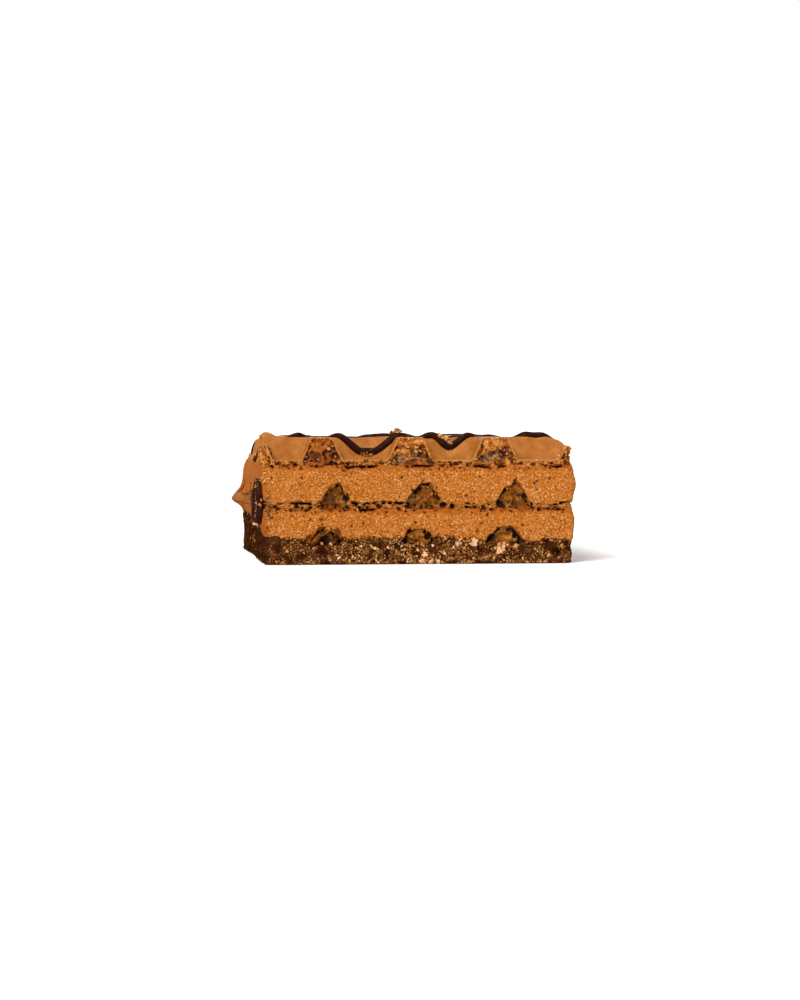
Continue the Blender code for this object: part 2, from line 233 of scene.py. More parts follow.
def cells(points, size, seed):
    """Distance to the nearest and second nearest scattered seed, in cell sizes, and the nearest
    one's number."""
    scaled = np.asarray(points, float) / size
    cell = np.floor(scaled).astype(np.int64)
    first = np.full(scaled.shape[:-1], 9.0)
    second = first.copy()
    number = np.zeros_like(first)
    for dx in (-1, 0, 1):
        for dy in (-1, 0, 1):
            for dz in (-1, 0, 1):
                place = [cell[..., 0] + dx, cell[..., 1] + dy, cell[..., 2] + dz]
                away = 0.0
                for axis in range(3):
                    offset = 0.5 + JITTER * (hashed(*place, seed + 3 * axis) - 0.5)
                    away = away + (place[axis] + offset - scaled[..., axis]) ** 2
                away = np.sqrt(away)
                nearer = away < first
                second = np.where(nearer, first, np.minimum(second, away))
                number = np.where(nearer, hashed(*place, seed + 11), number)
                first = np.where(nearer, away, first)
    return first, second, number


def foam(points, size, seed, wall=0.1, fill=1.0, fade=0.22):
    """Round bubbles cut open: depth share, 0 on the walls between them and 1 at the deepest,
    and each bubble's own number. Walls are wall wide, in bubble sizes, and round off over fade.
    A share fill of the bubbles is open, and the others are solid."""
    first, second, number = cells(points, size, seed)
    inside = smooth((second - first - wall) / fade)
    dome = np.sqrt(np.clip(1.0 - (first / 0.9) ** 2, 0.0, 1.0))
    return inside * dome * (number < fill), number


# ------------------------------------------------------------------ relief of the sheets


def trapezoid(place, corners, rounding):
    """0 outside the feet, 1 on the crest, and flanks between that are straight where rounding is
    0 and a smooth step where it is 1."""
    rising = (place - corners[0]) / (corners[1] - corners[0])
    falling = (corners[3] - place) / (corners[3] - corners[2])
    share = np.clip(np.minimum(rising, falling), 0.0, 1.0)
    return share + rounding * (smooth(share) - share)


def notched(x, row):
    """What the V notches of that row leave of the top sheet's cross rib."""
    left = np.ones_like(x)
    ribs = LONG_RIBS["top"]
    for column, (before, after) in enumerate(zip(ribs, ribs[1:])):
        middle = NOTCH_PLACES[column]
        corners = (before[2], middle - NOTCH_FLOOR, middle + NOTCH_FLOOR, after[1])
        if row == 0:
            corners = FRONT_NOTCHES[column]
        left = np.minimum(left, 1.0 - NOTCHES[row][column] * trapezoid(x, corners, 0.45))
    return left


def long_rib(sheet, x):
    """Height share of the ribs that run along Y."""
    shares = [trapezoid(x, corners, RIB_ROUNDING[sheet]) for corners in LONG_RIBS[sheet]]
    return np.maximum.reduce(shares)


def cross_rib(sheet, x, y):
    """Height share of the ribs that run along X."""
    crest, foot = CREST_WIDTH[sheet] / 2, FOOT_WIDTH[sheet] / 2
    best = np.zeros(np.broadcast(x, y).shape)
    for row, middle in enumerate(CROSS_RIBS[sheet]):
        corners = (middle - foot, middle - crest, middle + crest, middle + foot)
        share = trapezoid(y, corners, RIB_ROUNDING[sheet])
        if sheet == "top":
            share = share * notched(x, row)
        best = np.maximum(best, share)
    return best


def worn(x, y):
    """Share of the top sheet's relief that wear has left."""
    along = smooth((y + 18.0) / 9.0)
    inward = 1.0 - smooth((x + HALF_WIDTH) / 2.6)
    right = 0.16 * smooth((x - 21.0) / 2.5) + 0.34 * smooth((x - 22.4) / 1.8) ** 2
    back = y / (2 * HALF_LENGTH) + 0.5
    return (1.0 - 0.88 * along * inward) * (1.0 - right) - 0.05 * back


def upper_face(sheet, x, y):
    """Level of a sheet's ribbed upper face: floor plus the higher of its long and cross ribs. Wear
    lowers the top sheet's, and a lump stands at the front end of its left edge."""
    x, y = np.broadcast_arrays(np.asarray(x, float), np.asarray(y, float))
    high = setting("pit_depth") / MM if sheet == "top" else RIB_RISE[sheet]
    rise = high * np.maximum(long_rib(sheet, x), cross_rib(sheet, x, y))
    if sheet == "top":
        away = np.hypot(x + HALF_WIDTH - 0.4, (y - CROSS_RIBS["top"][0]) / 1.4)
        bump = smooth(1.25 - away / 2.0)
        edge = 0.22 * (1.0 - smooth((x + HALF_WIDTH) / 1.1)) * (1.0 - bump)
        rise = rise * worn(x, y) * (1.0 - edge) + 0.8 * bump
        rise = rise - 0.55 * bump * (1.0 - smooth((x + HALF_WIDTH) / 0.6))
    flat = np.stack([x, y, np.zeros_like(x)], -1)
    return UNDERSIDE[sheet] + SHEET_FLOOR + rise + 0.06 * noise(flat, 9.0, 5)


# ------------------------------------------------------------------ outline of the sides


def swell(z):
    """1 at the middle height of the upper cream, less at the lower cream and at the foot."""
    lower = bell((z - LOWER_CREAM_MIDDLE) / 1.6)
    upper = bell((z - UPPER_CREAM_MIDDLE) / 2.0)
    return 0.75 * lower + upper + 0.5 * bell((z - FOOT_BULGE) / 1.1)


def outward(side, along, z):
    """How far a side stands out: swelling creams, crags and, on the left, a flake and wear."""
    seed = 11 + list(WALLS).index(side)
    place = np.stack(np.broadcast_arrays(along, z, 0.0 * z), -1)
    reach = SWELL[side] * swell(z) + 0.16 * rough(place, 3.2, seed)
    if side == "right":
        reach = reach + 0.4 * smooth((z - 2.0) / 2.0)
    if side == "left":
        back = smooth((along + 15.0) / 22.0)
        above = smooth((z - 14.0) / 3.0)
        spread = np.where(z > FLAKE_LEVEL, 1.7, 1.1)
        flake = bell((z - FLAKE_LEVEL) / spread) * smooth((along - 6.0) / 10.0)
        node = smooth(1.0 - np.abs(along - CROSS_RIBS["top"][0]) / 5.0)
        reach = reach + 2.2 * flake - (0.5 + 0.9 * above) * back + 0.4 * node * above
    return reach


def near_walls(x, y):
    """Nearness to the side walls and to the front and back walls: 1 on a wall, and 0 from the
    corner radius inward."""
    return [
        np.clip(1.0 - (half - np.abs(place)) / CORNER_RADIUS, 0.0, 1.0)
        for place, half in ((x, HALF_WIDTH), (y, HALF_LENGTH))
    ]


def warped(points):
    """Moves points of the plain block to the real outline: rounds the corners, then pushes each
    side out by its outward(), which fades to nothing over SWELL_REACH."""
    x, y, z = points[..., 0], points[..., 1], points[..., 2]
    near_x, near_y = near_walls(x, y)
    round_x = x - np.sign(x) * CORNER_RADIUS * near_x * (1.0 - np.sqrt(1.0 - near_y**2 / 2))
    round_y = y - np.sign(y) * CORNER_RADIUS * near_y * (1.0 - np.sqrt(1.0 - near_x**2 / 2))

    def fade(distance):
        return np.clip(1.0 - distance / SWELL_REACH, 0.0, 1.0) ** 2

    moved_x = round_x + fade(HALF_WIDTH - x) * outward("right", y, z)
    moved_x = moved_x - fade(HALF_WIDTH + x) * outward("left", y, z)
    moved_y = round_y + fade(HALF_LENGTH - y) * outward("back", x, z)
    moved_y = moved_y - fade(HALF_LENGTH + y) * outward("front", x, z)
    return np.stack([moved_x, moved_y, z], -1)


def outline(xs, ys):
    """The closed line round the block through the grid lines xs and ys, with outward normals."""
    front = [(x, -HALF_LENGTH) for x in xs]
    right = [(HALF_WIDTH, y) for y in ys[1:]]
    back = [(x, HALF_LENGTH) for x in xs[::-1][1:]]
    left = [(-HALF_WIDTH, y) for y in ys[::-1][1:-1]]
    line = np.array(front + right + back + left)
    normal = np.sign(line) * np.stack(near_walls(line[:, 0], line[:, 1]), -1)
    normal /= np.linalg.norm(normal, axis=1, keepdims=True)
    return line, normal


def on_table(line):
    """The outline's points with a level of zero."""
    return np.column_stack([line, np.zeros(len(line))])


def near_front(y, reach):
    """Whether places along Y are within that reach of the front wall."""
    return y < -HALF_LENGTH + reach


def left_wall(line):
    """1 on the left wall of the outline and 0 on the others."""
    return smooth((-HALF_WIDTH + 0.7 - line[:, 0]) / 0.5)


def grid_lines(half, fine, coarse, fine_from, fine_to):
    """Lines from -half to half, fine between two places and coarse elsewhere."""
    parts = []
    for low, high, step in (
        (-half, fine_from, coarse),
        (fine_from, fine_to, fine),
        (fine_to, half, coarse),
    ):
        if high > low:
            parts.append(np.linspace(low, high, max(1, round((high - low) / step)) + 1)[:-1])
    return np.concatenate([*parts, [half]])


# ------------------------------------------------------------------ meshes


def make_piece(
    name, points, faces, materials, nodes, values=(), caps=(), indices=None, faceted=False
):
    """Writes a mesh from arrays: points in mm, faces that all have as many corners, closing faces
    with more, and a number per vertex for each named value. The piece rides on the one body and
    stands for the named nodes."""
    mesh = bpy.data.meshes.new(name)
    moved = (points + np.array([*ORIGIN_SHIFT, 0.0])) * MM
    loops = np.concatenate([np.ravel(faces), *[np.asarray(cap) for cap in caps]]).astype(np.int32)
    sizes = np.array([len(faces[0])] * len(faces) + [len(cap) for cap in caps], np.int32)
    starts = np.concatenate([[0], np.cumsum(sizes)[:-1]]).astype(np.int32)
    mesh.vertices.add(len(moved))
    mesh.vertices.foreach_set("co", moved.astype(np.float32).ravel())
    mesh.loops.add(len(loops))
    mesh.loops.foreach_set("vertex_index", loops)
    mesh.polygons.add(len(sizes))
    mesh.polygons.foreach_set("loop_start", starts)
    mesh.polygons.foreach_set("use_smooth", np.full(len(sizes), not faceted))
    if indices is not None:
        mesh.polygons.foreach_set("material_index", indices.astype(np.int32))
    mesh.update(calc_edges=True)
    mesh.validate()
    for key, numbers in dict(values).items():
        layer = mesh.attributes.new(key, "FLOAT", "POINT")
        layer.data.foreach_set("value", np.asarray(numbers, np.float32).ravel())
    for material in materials:
        mesh.materials.append(material)
    piece = bpy.data.objects.new(name, mesh)
    bpy.context.scene.collection.objects.link(piece)
    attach(piece, "root")
    if nodes:
        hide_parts(*nodes)


def ring_quads(rows, count, first=0):
    """Quads between consecutive closed rows of count points."""
    row = np.arange(rows - 1)[:, None] * count
    step = np.arange(count)[None, :]
    after = (step + 1) % count
    quads = np.stack([row + step, row + count + step, row + count + after, row + after], -1)
    return quads.reshape(-1, 4) + first


def layer_shape(lines, top, bottom, shares, ragged, above=(), below=(), inset=None):
    """Rows of a layer from the middle of its upper face, down its wall, to the middle of its
    underside. top and bottom give levels at x and y, shares the wall's rows as shares of its
    height, above and below the rows of each face as shares of the way out, and ragged moves the
    wall's upper and lower border. inset says how far the wall stays back. The rows that make the
    wall come back too."""
    line, normal = lines
    rows = []
    for share in above:
        place = line * share
        rows.append(np.column_stack([place, top(place[:, 0], place[:, 1])]))
    high = top(line[:, 0], line[:, 1]) + ragged[0]
    low = bottom(line[:, 0], line[:, 1]) + ragged[1]
    for share in shares:
        level = high + (low - high) * share
        place = line if inset is None else line - normal * inset(line, level)[:, None]
        rows.append(np.column_stack([place, level]))
    for share in below:
        place = line * share
        rows.append(np.column_stack([place, bottom(place[:, 0], place[:, 1])]))
    return np.array(rows), range(len(above), len(above) + len(shares))


def fine_lines(step):
    """Grid lines of a layer: finest along the cut front and back."""
    xs = grid_lines(HALF_WIDTH, step, step, -HALF_WIDTH, HALF_WIDTH)
    front = -HALF_LENGTH
    ys = grid_lines(HALF_LENGTH, step, LONGER_STEPS * step, front, front + FRONT_BAND)
    return xs, ys


def ends_fine(count, edge=0.012):
    """Shares from 0 to 1, with close rows at both ends."""
    inner = np.linspace(2.5 * edge, 1.0 - 2.5 * edge, count)
    return np.concatenate([[0.0, edge], inner, [1.0 - edge, 1.0]])


def rim_level(line):
    """Top of the chocolate rim round the outline: lower to the right and under the front ribs,
    and drawn up the left side."""
    x, y = line[:, 0], line[:, 1]
    place = on_table(line)
    lower = 0.55 * smooth((x - 4.0) / 13.0)
    ribs = 1.15 * smooth(2.0 * long_rib("bottom", x)) * near_front(y, 0.1)
    drawn_up = 0.3 + (2.3 + 1.1 * noise(place, 7.0, 9)) * smooth((y + 21.5) / 5.0)
    left = drawn_up * smooth((-x - 23.3) / 0.5)
    return RIM_LEVEL - lower - ribs + left + 0.7 * rough(place, 1.1, 8, 4)


def behind_rim(line, level):
    """How far a layer's wall stays back where the chocolate rim covers it."""
    return 0.85 * (1.0 - smooth((level - rim_level(line) + 0.1) / 0.3))


def broken_line(points, seed, share=0.0):
    """A presence from 0 to 1 that comes and goes along the outline, in stretches of 1 to 3 mm."""
    flat = points * np.array([1.0, 1.0, 0.15])
    return smooth((rough(flat, 2.2, seed) + 0.25 + share) / 0.35)


# Noise seed of the joint over each sheet. The joint under it takes the next one.
JOINT_SEEDS = {"bottom": 131, "middle": 137, "top": 139}
# Mean of the noise that opens the joints under and over a sheet, before it is clipped.
GAPING_UNDER = 0.1
GAPING_OVER = 0.2


def gape(line, sheet, under):
    """How far the joint under or over a sheet gapes along the outline, from 0 to 1."""
    seed = JOINT_SEEDS[sheet] + int(under)
    flat = on_table(line)
    wide = 2.6 * rough(flat, 2.6, seed, 2) + 0.8 * noise(flat, 0.5, seed + 5)
    corner = smooth((np.abs(line[:, 0]) - HALF_WIDTH + 2.0) / 1.5) * near_front(line[:, 1], 2.0)
    gaping = np.clip(wide + (GAPING_UNDER if under else GAPING_OVER), 0.0, 1.0)
    return gaping * (1.0 - 0.8 * left_wall(line)) * (1.0 - 0.6 * corner)


# Cavities torn open round each rib of the front wall: steps aside from the rib's middle and up
# from the sheet's floor, and radius.
RIB_CAVITIES = {
    "bottom": (
        (-2.0, 1.0, 0.5), (-1.1, 2.1, 0.35), (0.8, 2.0, 0.3), (1.6, 1.2, 0.6), (2.3, 0.4, 0.5),
    ),
    "middle": (
        (-2.7, 0.0, 0.5), (-1.1, 2.1, 0.35), (0.2, 2.7, 0.3), (1.3, 1.1, 0.5), (2.8, -0.2, 0.4),
    ),
    "top": ((-2.1, 0.6, 0.3), (0.2, 1.1, 0.3), (1.8, 0.8, 0.5), (2.7, -0.4, 0.4)),
}
# The largest one, in the lowest sheet, and the distance between those along the sheets' floors.
LARGE_CAVITY = (-14.8, 3.2, 0.8)
FLOOR_CAVITY_STEP = 2.7


def front_cavities():
    """Place x and z and radius of each cavity in the front wall: some round each rib and a row
    along the upper two sheets' floors, each moved and resized a little at random."""
    rng = np.random.default_rng(63)
    places = [LARGE_CAVITY]
    for sheet, around in RIB_CAVITIES.items():
        for rib in LONG_RIBS[sheet]:
            middle, floor = (rib[1] + rib[2]) / 2, UNDERSIDE[sheet] + SHEET_FLOOR
            places += [(middle + aside, floor + up, radius) for aside, up, radius in around]
        if sheet != "bottom":
            along = np.arange(-HALF_WIDTH + 2.0, HALF_WIDTH - 2.0, FLOOR_CAVITY_STEP)
            places += [(x, UNDERSIDE[sheet] + 0.3, 0.3) for x in along]
    places = np.array(places)
    places[:, :2] += 0.22 * rng.normal(size=(len(places), 2))
    places[:, 2] *= rng.uniform(0.75, 1.25, len(places))
    return places[np.abs(places[:, 0]) < HALF_WIDTH - 1.0]


CAVITIES = front_cavities()


def torn_open(points):
    """How far the front wall is torn open into a cavity, from 0 to 1."""
    bent_x = points[:, 0] + 0.3 * rough(points, 0.7, 121)
    bent_z = points[:, 2] + 0.3 * rough(points, 0.7, 123)
    share = np.zeros(len(points))
    for x, z, radius in CAVITIES:
        away = np.hypot(bent_x - x, bent_z - z)
        share = np.maximum(share, smooth(1.8 * (1.35 - away / radius)))
    return share * near_front(points[:, 1], 1.2)


def wafer_cut(points, above, below, in_rib, height, embedded, joints):
    """Depth in mm of the open bubbles on a cut through baked wafer, the part that lies in large
    bubbles, and each large bubble's number. Large round bubbles fill the ribs' lower part, crumb
    their upper part and flat bubbles the floor. The skin stays whole unless cream covers it.
    joints says how far the joints under and over the sheet gape."""
    whole = 0.02 if embedded else 0.16
    core = smooth((np.minimum(below - whole, above) + 0.05) / 0.25)
    bent = points + 0.2 * np.stack([noise(points, 0.8, seed) for seed in (32, 33, 34)], -1)
    stretch = np.array([0.9, 1.0, 1.2])
    large, number = foam(bent * stretch, LARGE_BUBBLE, 31, 0.02, 0.92, 0.12)
    middle, _ = foam(bent, MIDDLING_BUBBLE, 37, 0.05, 0.6)
    small, _ = foam(points, SMALL_BUBBLE, 47, 0.1, 0.7)
    holes, _ = foam(bent, FLAT_BUBBLE, 53, 0.06, 0.45)
    chunks = np.clip(0.5 + 0.7 * rough(points, 1.5, 59, 4), 0.0, 1.0)
    crumbly = smooth((height - 0.5) / 0.25) * (0.25 if embedded else 0.9)
    open_ribs = (1.0 - crumbly) * large * (0.3 + 0.7 * number)
    ribs = 1.1 * open_ribs + 0.4 * middle * (0.35 + 0.65 * crumbly) + 0.16 * small
    ribs = ribs + (0.55 if embedded else 0.42) * chunks
    floor = 0.65 * holes * broken_line(points, 61, 0.2) + 0.22 * small + 0.14 * chunks
    depth = (in_rib * ribs + (1.0 - in_rib) * floor) * core
    if embedded:
        thick = 0.34 + 0.3 * noise(points, 0.7, 63)
        spots = 0.8 * in_rib * smooth((noise(points, 1.0, 69) + 0.1) / 0.3)
        over = (1.0 - smooth(below / thick)) * np.maximum(spots, joints[1] * (1.0 - in_rib))
        depth = np.maximum(depth, 1.1 * over)
        thick = 0.9 + 0.5 * noise(points, 1.0, 77)
        flank = (1.0 - smooth(below / thick)) * smooth((1.1 - height) / 0.5) * in_rib
        flank = flank * smooth((noise(points, 1.5, 78) + 0.15) / 0.25)
        depth = np.maximum(depth, 1.7 * flank)
    thick = 0.34 + 0.2 * noise(points, 0.7, 73)
    under = (1.0 - smooth(above / thick)) * joints[0]
    depth = np.maximum(depth, 0.9 * under)
    return depth, in_rib * core * smooth((open_ribs - 0.08) / 0.25), number


def slope_share(level, line):
    """Cosine of the upper face's slope along the outline, to turn heights into distances."""
    step = np.linalg.norm(np.roll(line, -1, 0) - np.roll(line, 1, 0), axis=1)
    rise = (np.roll(level, -1) - np.roll(level, 1)) / np.maximum(step, 0.1)
    return 1.0 / np.sqrt(1.0 + rise**2)


def cut_values(sheet, lines, rows, wall):
    """Carves the wafer's cut wall inward by the depth of its bubbles and cavities, and returns the
    numbers per vertex that its material reads: painted shade by how hollow it is, how skinned and
    toasted it is, each large bubble's own number, how far it lies in such a bubble, and how far
    outside the ribs."""
    line, normal = lines
    keys = ("hollow_shade", "skin", "toast", "film", "bubble", "plain")
    values = {key: np.zeros(rows.shape[:2]) for key in keys}
    joints = (
        gape(line, sheet, under=True) * (sheet != "bottom"),
        gape(line, sheet, under=False) * (sheet != "top"),
    )
    face = upper_face(sheet, line[:, 0], line[:, 1])
    slope = slope_share(face, line)
    embedded = sheet != "top"
    floor = UNDERSIDE[sheet] + SHEET_FLOOR
    in_rib = smooth((face - floor - 0.35) / 0.7)
    for row in wall:
        level = rows[row, :, 2]
        below = (face - level) * slope
        above = level - UNDERSIDE[sheet]
        height = (level - floor) / RIB_RISE[sheet]
        depth, bubble, number = wafer_cut(
            rows[row], above, below, in_rib, height, embedded, joints
        )
        grain = rough(rows[row], 0.5, 71)
        pale = 0.0 if embedded else 0.45 * smooth((height - 0.45) / 0.3)
        flake = smooth((-HALF_WIDTH - 0.6 - rows[row, :, 0]) / 0.5)
        cavity = torn_open(rows[row])
        depth = np.maximum(depth * (1.0 - 0.85 * flake), 0.9 * cavity)
        bubble = bubble * (1.0 - flake)
        rows[row, :, :2] -= normal * (depth + 0.04 * grain)[:, None]
        dark = 0.0
        if sheet != "middle":
            dark = bell((line[:, 0] - DARK_RIB) / 3.2) * (1.0 - pale)
        # Painted shade in the carved bubbles and torn cavities; round DARK_RIB the crumb is darker
        # too.
        hollow_shade = smooth((depth - 0.25) / 1.1) * (1.0 - pale) + 0.22 * dark * in_rib
        values["hollow_shade"][row] = np.clip(np.maximum(hollow_shade, 0.78 * cavity), 0.0, 1.0)
        values["bubble"][row] = bubble * (1.0 - cavity)
        values["film"][row] = number * (1.0 - 0.6 * dark)
        values["plain"][row] = 1.0 - in_rib
        if not embedded:
            whole_end = (line[:, 0] < WHOLE_END) & near_front(line[:, 1], 0.1)
            whole_end = whole_end * smooth((level - WHOLE_END_LEVEL + 0.5 * grain) / 0.5)
            rows[row, :, :2] += normal * (depth * whole_end)[:, None]
            thin = 1.0 - smooth((below + 0.16 * grain - 0.08) / 0.12)
            thin = thin * smooth(noise(rows[row], 1.2, 75) + 0.9)
            values["skin"][row] = np.maximum(thin, whole_end)
            values["hollow_shade"][row] *= 1.0 - whole_end
            values["bubble"][row] *= 1.0 - whole_end
        values["toast"][row] = 1.0 - smooth((above + 0.12 * grain - 0.25) / 0.25)
    return values


# ------------------------------------------------------------------ materials


def linear(hexed):
    """Linear colour with alpha from an sRGB hex string."""
    parts = [int(hexed[i : i + 2], 16) / 255 for i in (0, 2, 4)]
    return (*[c / 12.92 if c <= 0.04045 else ((c + 0.055) / 1.055) ** 2.4 for c in parts], 1.0)


def per_metre(size_mm):
    """Texture scale that gives a pattern of that size in mm."""
    return 1.0 / (size_mm * MM)


def setting(name):
    """One of the values that can be changed before building."""
    return getattr(bpy.context.scene.wafer_biscuit, name)


def palette(name):
    """A function that turns the hex tones of one finish to linear colours. They all move with its
    main colour, where that was changed."""
    share = [chosen / usual for chosen, usual in zip(setting(name), linear(MAIN_TONES[name]))]
    return lambda hexed: [*(tone * part for tone, part in zip(linear(hexed), share)), 1.0]


def toned(tone, stops):
    """Colour stops from places and hex tones of one finish."""
    return [(at, tone(hexed)) for at, hexed in stops]


def new_material(name, roughness, specular):
    """An empty material with a Principled shader. Returns it, its tree and the shader."""
    material = bpy.data.materials.new(name)
    material.use_nodes = True
    tree = material.node_tree
    shader = tree.nodes["Principled BSDF"]
    shader.inputs["Roughness"].default_value = roughness
    shader.inputs["Specular IOR Level"].default_value = specular
    return material, tree, shader


def add(tree, kind, inputs=(), stops=(), **settings):
    """Adds a node with its properties and colour stops, fills its inputs with numbers, colours or
    links, by name or in order, and returns its outputs."""
    node = tree.nodes.new("ShaderNode" + kind)
    for key, value in settings.items():
        setattr(node, key, value)
    for key, value in inputs.items() if isinstance(inputs, dict) else enumerate(inputs):
        if isinstance(value, bpy.types.NodeSocket):
            tree.links.new(value, node.inputs[key])
        else:
            node.inputs[key].default_value = value
    for number, (place, colour) in enumerate(stops):
        elements = node.color_ramp.elements
        element = elements[number] if number < 2 else elements.new(place)
        element.position, element.color = place, colour
    return node.outputs


def translucent(shader, weight, radius_mm):
    """Light that enters and leaves a little way off, further in red."""
    shader.inputs["Subsurface Weight"].default_value = weight
    shader.inputs["Subsurface Radius"].default_value = (1.0, 0.45, 0.18)
    shader.inputs["Subsurface Scale"].default_value = radius_mm * MM


def dress(tree, shader, colour, height, depth_mm):
    """Gives the shader its colour, and a fine relief of that depth."""
    tree.links.new(colour, shader.inputs["Base Color"])
    bump = add(tree, "Bump", {"Height": height, "Distance": depth_mm * MM})[0]
    tree.links.new(bump, shader.inputs["Normal"])


def baked_skin():
    """Wafer skin baked against a hot plate: even matt tan, with pin-prick pores and faint flour
    clouds. The eye reads it as thin, dry and brittle."""
    material, tree, shader = new_material("plate_baked_wafer_skin", 0.65, 0.1)
    place = add(tree, "TexCoord")["Object"]
    tone = palette("skin_colour")
    clouds = add(
        tree, "TexNoise", {"Vector": place, "Scale": per_metre(2.4), "Detail": 6.0, "Roughness": 0.7}
    )["Fac"]
    tans = ((0.32, "864A14"), (0.46, "945820"), (0.6, "A0642C"), (0.72, "B0783E"))
    colour = add(tree, "ValToRGB", (clouds,), toned(tone, tans))[0]
    pores = add(tree, "TexVoronoi", {"Vector": place, "Scale": per_metre(0.6)})
    chosen = add(tree, "SeparateColor", (pores["Color"],))[0]
    chosen = add(tree, "MapRange", (chosen, 0.84, 0.88, 0.0, 1.0))[0]
    spot = add(tree, "MapRange", (pores["Distance"], 0.08, 0.28, 0.6, 0.0))[0]
    pore = add(tree, "Math", (chosen, spot), operation="MULTIPLY")[0]
    colour = add(tree, "Mix", {0: pore, 6: colour, 7: tone("5E2C08")}, data_type="RGBA")[2]
    edge = add(tree, "Attribute", attribute_name="skin")["Fac"]
    edge = add(tree, "MapRange", (edge, 0.0, 1.0, 0.0, 0.55))[0]
    colour = add(tree, "Mix", {0: edge, 6: colour, 7: tone("B87C42")}, data_type="RGBA")[2]
    fine = add(tree, "TexNoise", {"Vector": place, "Scale": per_metre(0.4), "Detail": 5.0})["Fac"]
    dress(tree, shader, colour, fine, 0.07)
    translucent(shader, 0.1, 0.5)
    return material


def cut_wafer(soaked):
    """Broken wafer: a bubbly toasted crumb with thin glassy bubble walls. Pale at the broken
    skin, orange-brown in the crumb, with painted shade that darkens it the deeper the open bubbles
    and cavities are cut. Under cream the fat soaks in, which turns it darker and more olive.
    The painted shade in hollows, bubble, film, plain, toast and skin are numbers on the vertices."""
    if soaked:
        material, tree, shader = new_material("fat_soaked_wafer_foam", 0.6, 0.12)
        tone = palette("soaked_colour")
        crumb = ((0.0, "986024"), (0.18, "824A12"), (0.34, "6C3806"), (0.6, "462204"), (1.0, "180801"))
        walls = ((0.0, "5E3004"), (0.35, "96540A"), (0.7, "BC7A28"), (1.0, "DAA662"))
    else:
        material, tree, shader = new_material("broken_toasted_wafer_foam", 0.6, 0.18)
        tone = palette("foam_colour")
        crumb = ((0.0, "D29A5A"), (0.18, "B4702A"), (0.34, "944C0C"), (0.6, "6A2E05"), (1.0, "341202"))
        walls = ((0.0, "5A2402"), (0.35, "843F07"), (0.7, "AA6620"), (1.0, "CC9E66"))
    place = add(tree, "TexCoord")["Object"]
    marks = {
        key: add(tree, "Attribute", attribute_name=key)["Fac"]
        for key in ("hollow_shade", "bubble", "film", "plain", "toast", "skin")
    }
    grains = []
    for size, detail, sharpness in ((0.4, 4.0, 0.7), (0.9, 3.0, 0.65), (0.2, 4.0, 0.5)):
        inputs = {"Vector": place, "Scale": per_metre(size), "Detail": detail}
        inputs["Roughness"] = sharpness
        grains.append(add(tree, "TexNoise", inputs)["Fac"])
    fine, coarse, finest = grains
    varied = add(tree, "MapRange", (fine, 0.3, 0.7, 0.0, 1.0))[0]
    # The crumb darkens as the hollow mark rises: painted shade in the open bubbles and cavities.
    pushed = add(tree, "Math", (varied, 0.4, marks["hollow_shade"]), operation="MULTIPLY_ADD")[0]
    colour = add(tree, "ValToRGB", (pushed,), toned(tone, crumb))[0]
    glow = add(tree, "Math", (fine, -0.5), operation="ADD")[0]
    glow = add(tree, "Math", (glow, 1.0, marks["film"]), operation="MULTIPLY_ADD")[0]
    film = add(tree, "ValToRGB", (glow,), toned(tone, walls))[0]
    streaks = add(tree, "MapRange", (coarse, 0.42, 0.54, 0.15, 1.0))[0]
    film = add(tree, "Mix", {0: streaks, 6: tone("341403"), 7: film}, data_type="RGBA")[2]
    inside = add(tree, "MapRange", (marks["bubble"], 0.1, 0.9, 0.0, 0.85))[0]
    sands = ((0.35, "7A4008"), (0.65, "C8853E"))
    sandy = add(tree, "ValToRGB", (fine,), toned(tone, sands))[0]
    shallow = add(tree, "MapRange", (marks["hollow_shade"], 0.05, 0.35, 0.65, 0.0))[0]
    plain = add(tree, "Math", (shallow, marks["plain"]), operation="MULTIPLY")[0]
    patches = add(tree, "MapRange", (coarse, 0.44, 0.6, 0.0, 0.75))[0]
    toast = add(tree, "Math", (patches, marks["toast"]), operation="MULTIPLY")[0]
    skin = add(tree, "MapRange", (marks["skin"], 0.0, 1.0, 0.0, 0.75))[0]
    overlays = ((inside, film), (plain, sandy), (toast, tone("7C3405")), (skin, tone("A4682C")))
    for share, over in overlays:
        colour = add(tree, "Mix", {0: share, 6: colour, 7: over}, data_type="RGBA")[2]
    glassy = add(tree, "MapRange", (marks["bubble"], 0.1, 0.7, 0.75, 0.3))[0]
    tree.links.new(glassy, shader.inputs["Roughness"])
    dress(tree, shader, colour, finest, 0.1)
    translucent(shader, 0.2, 0.4)
    return material


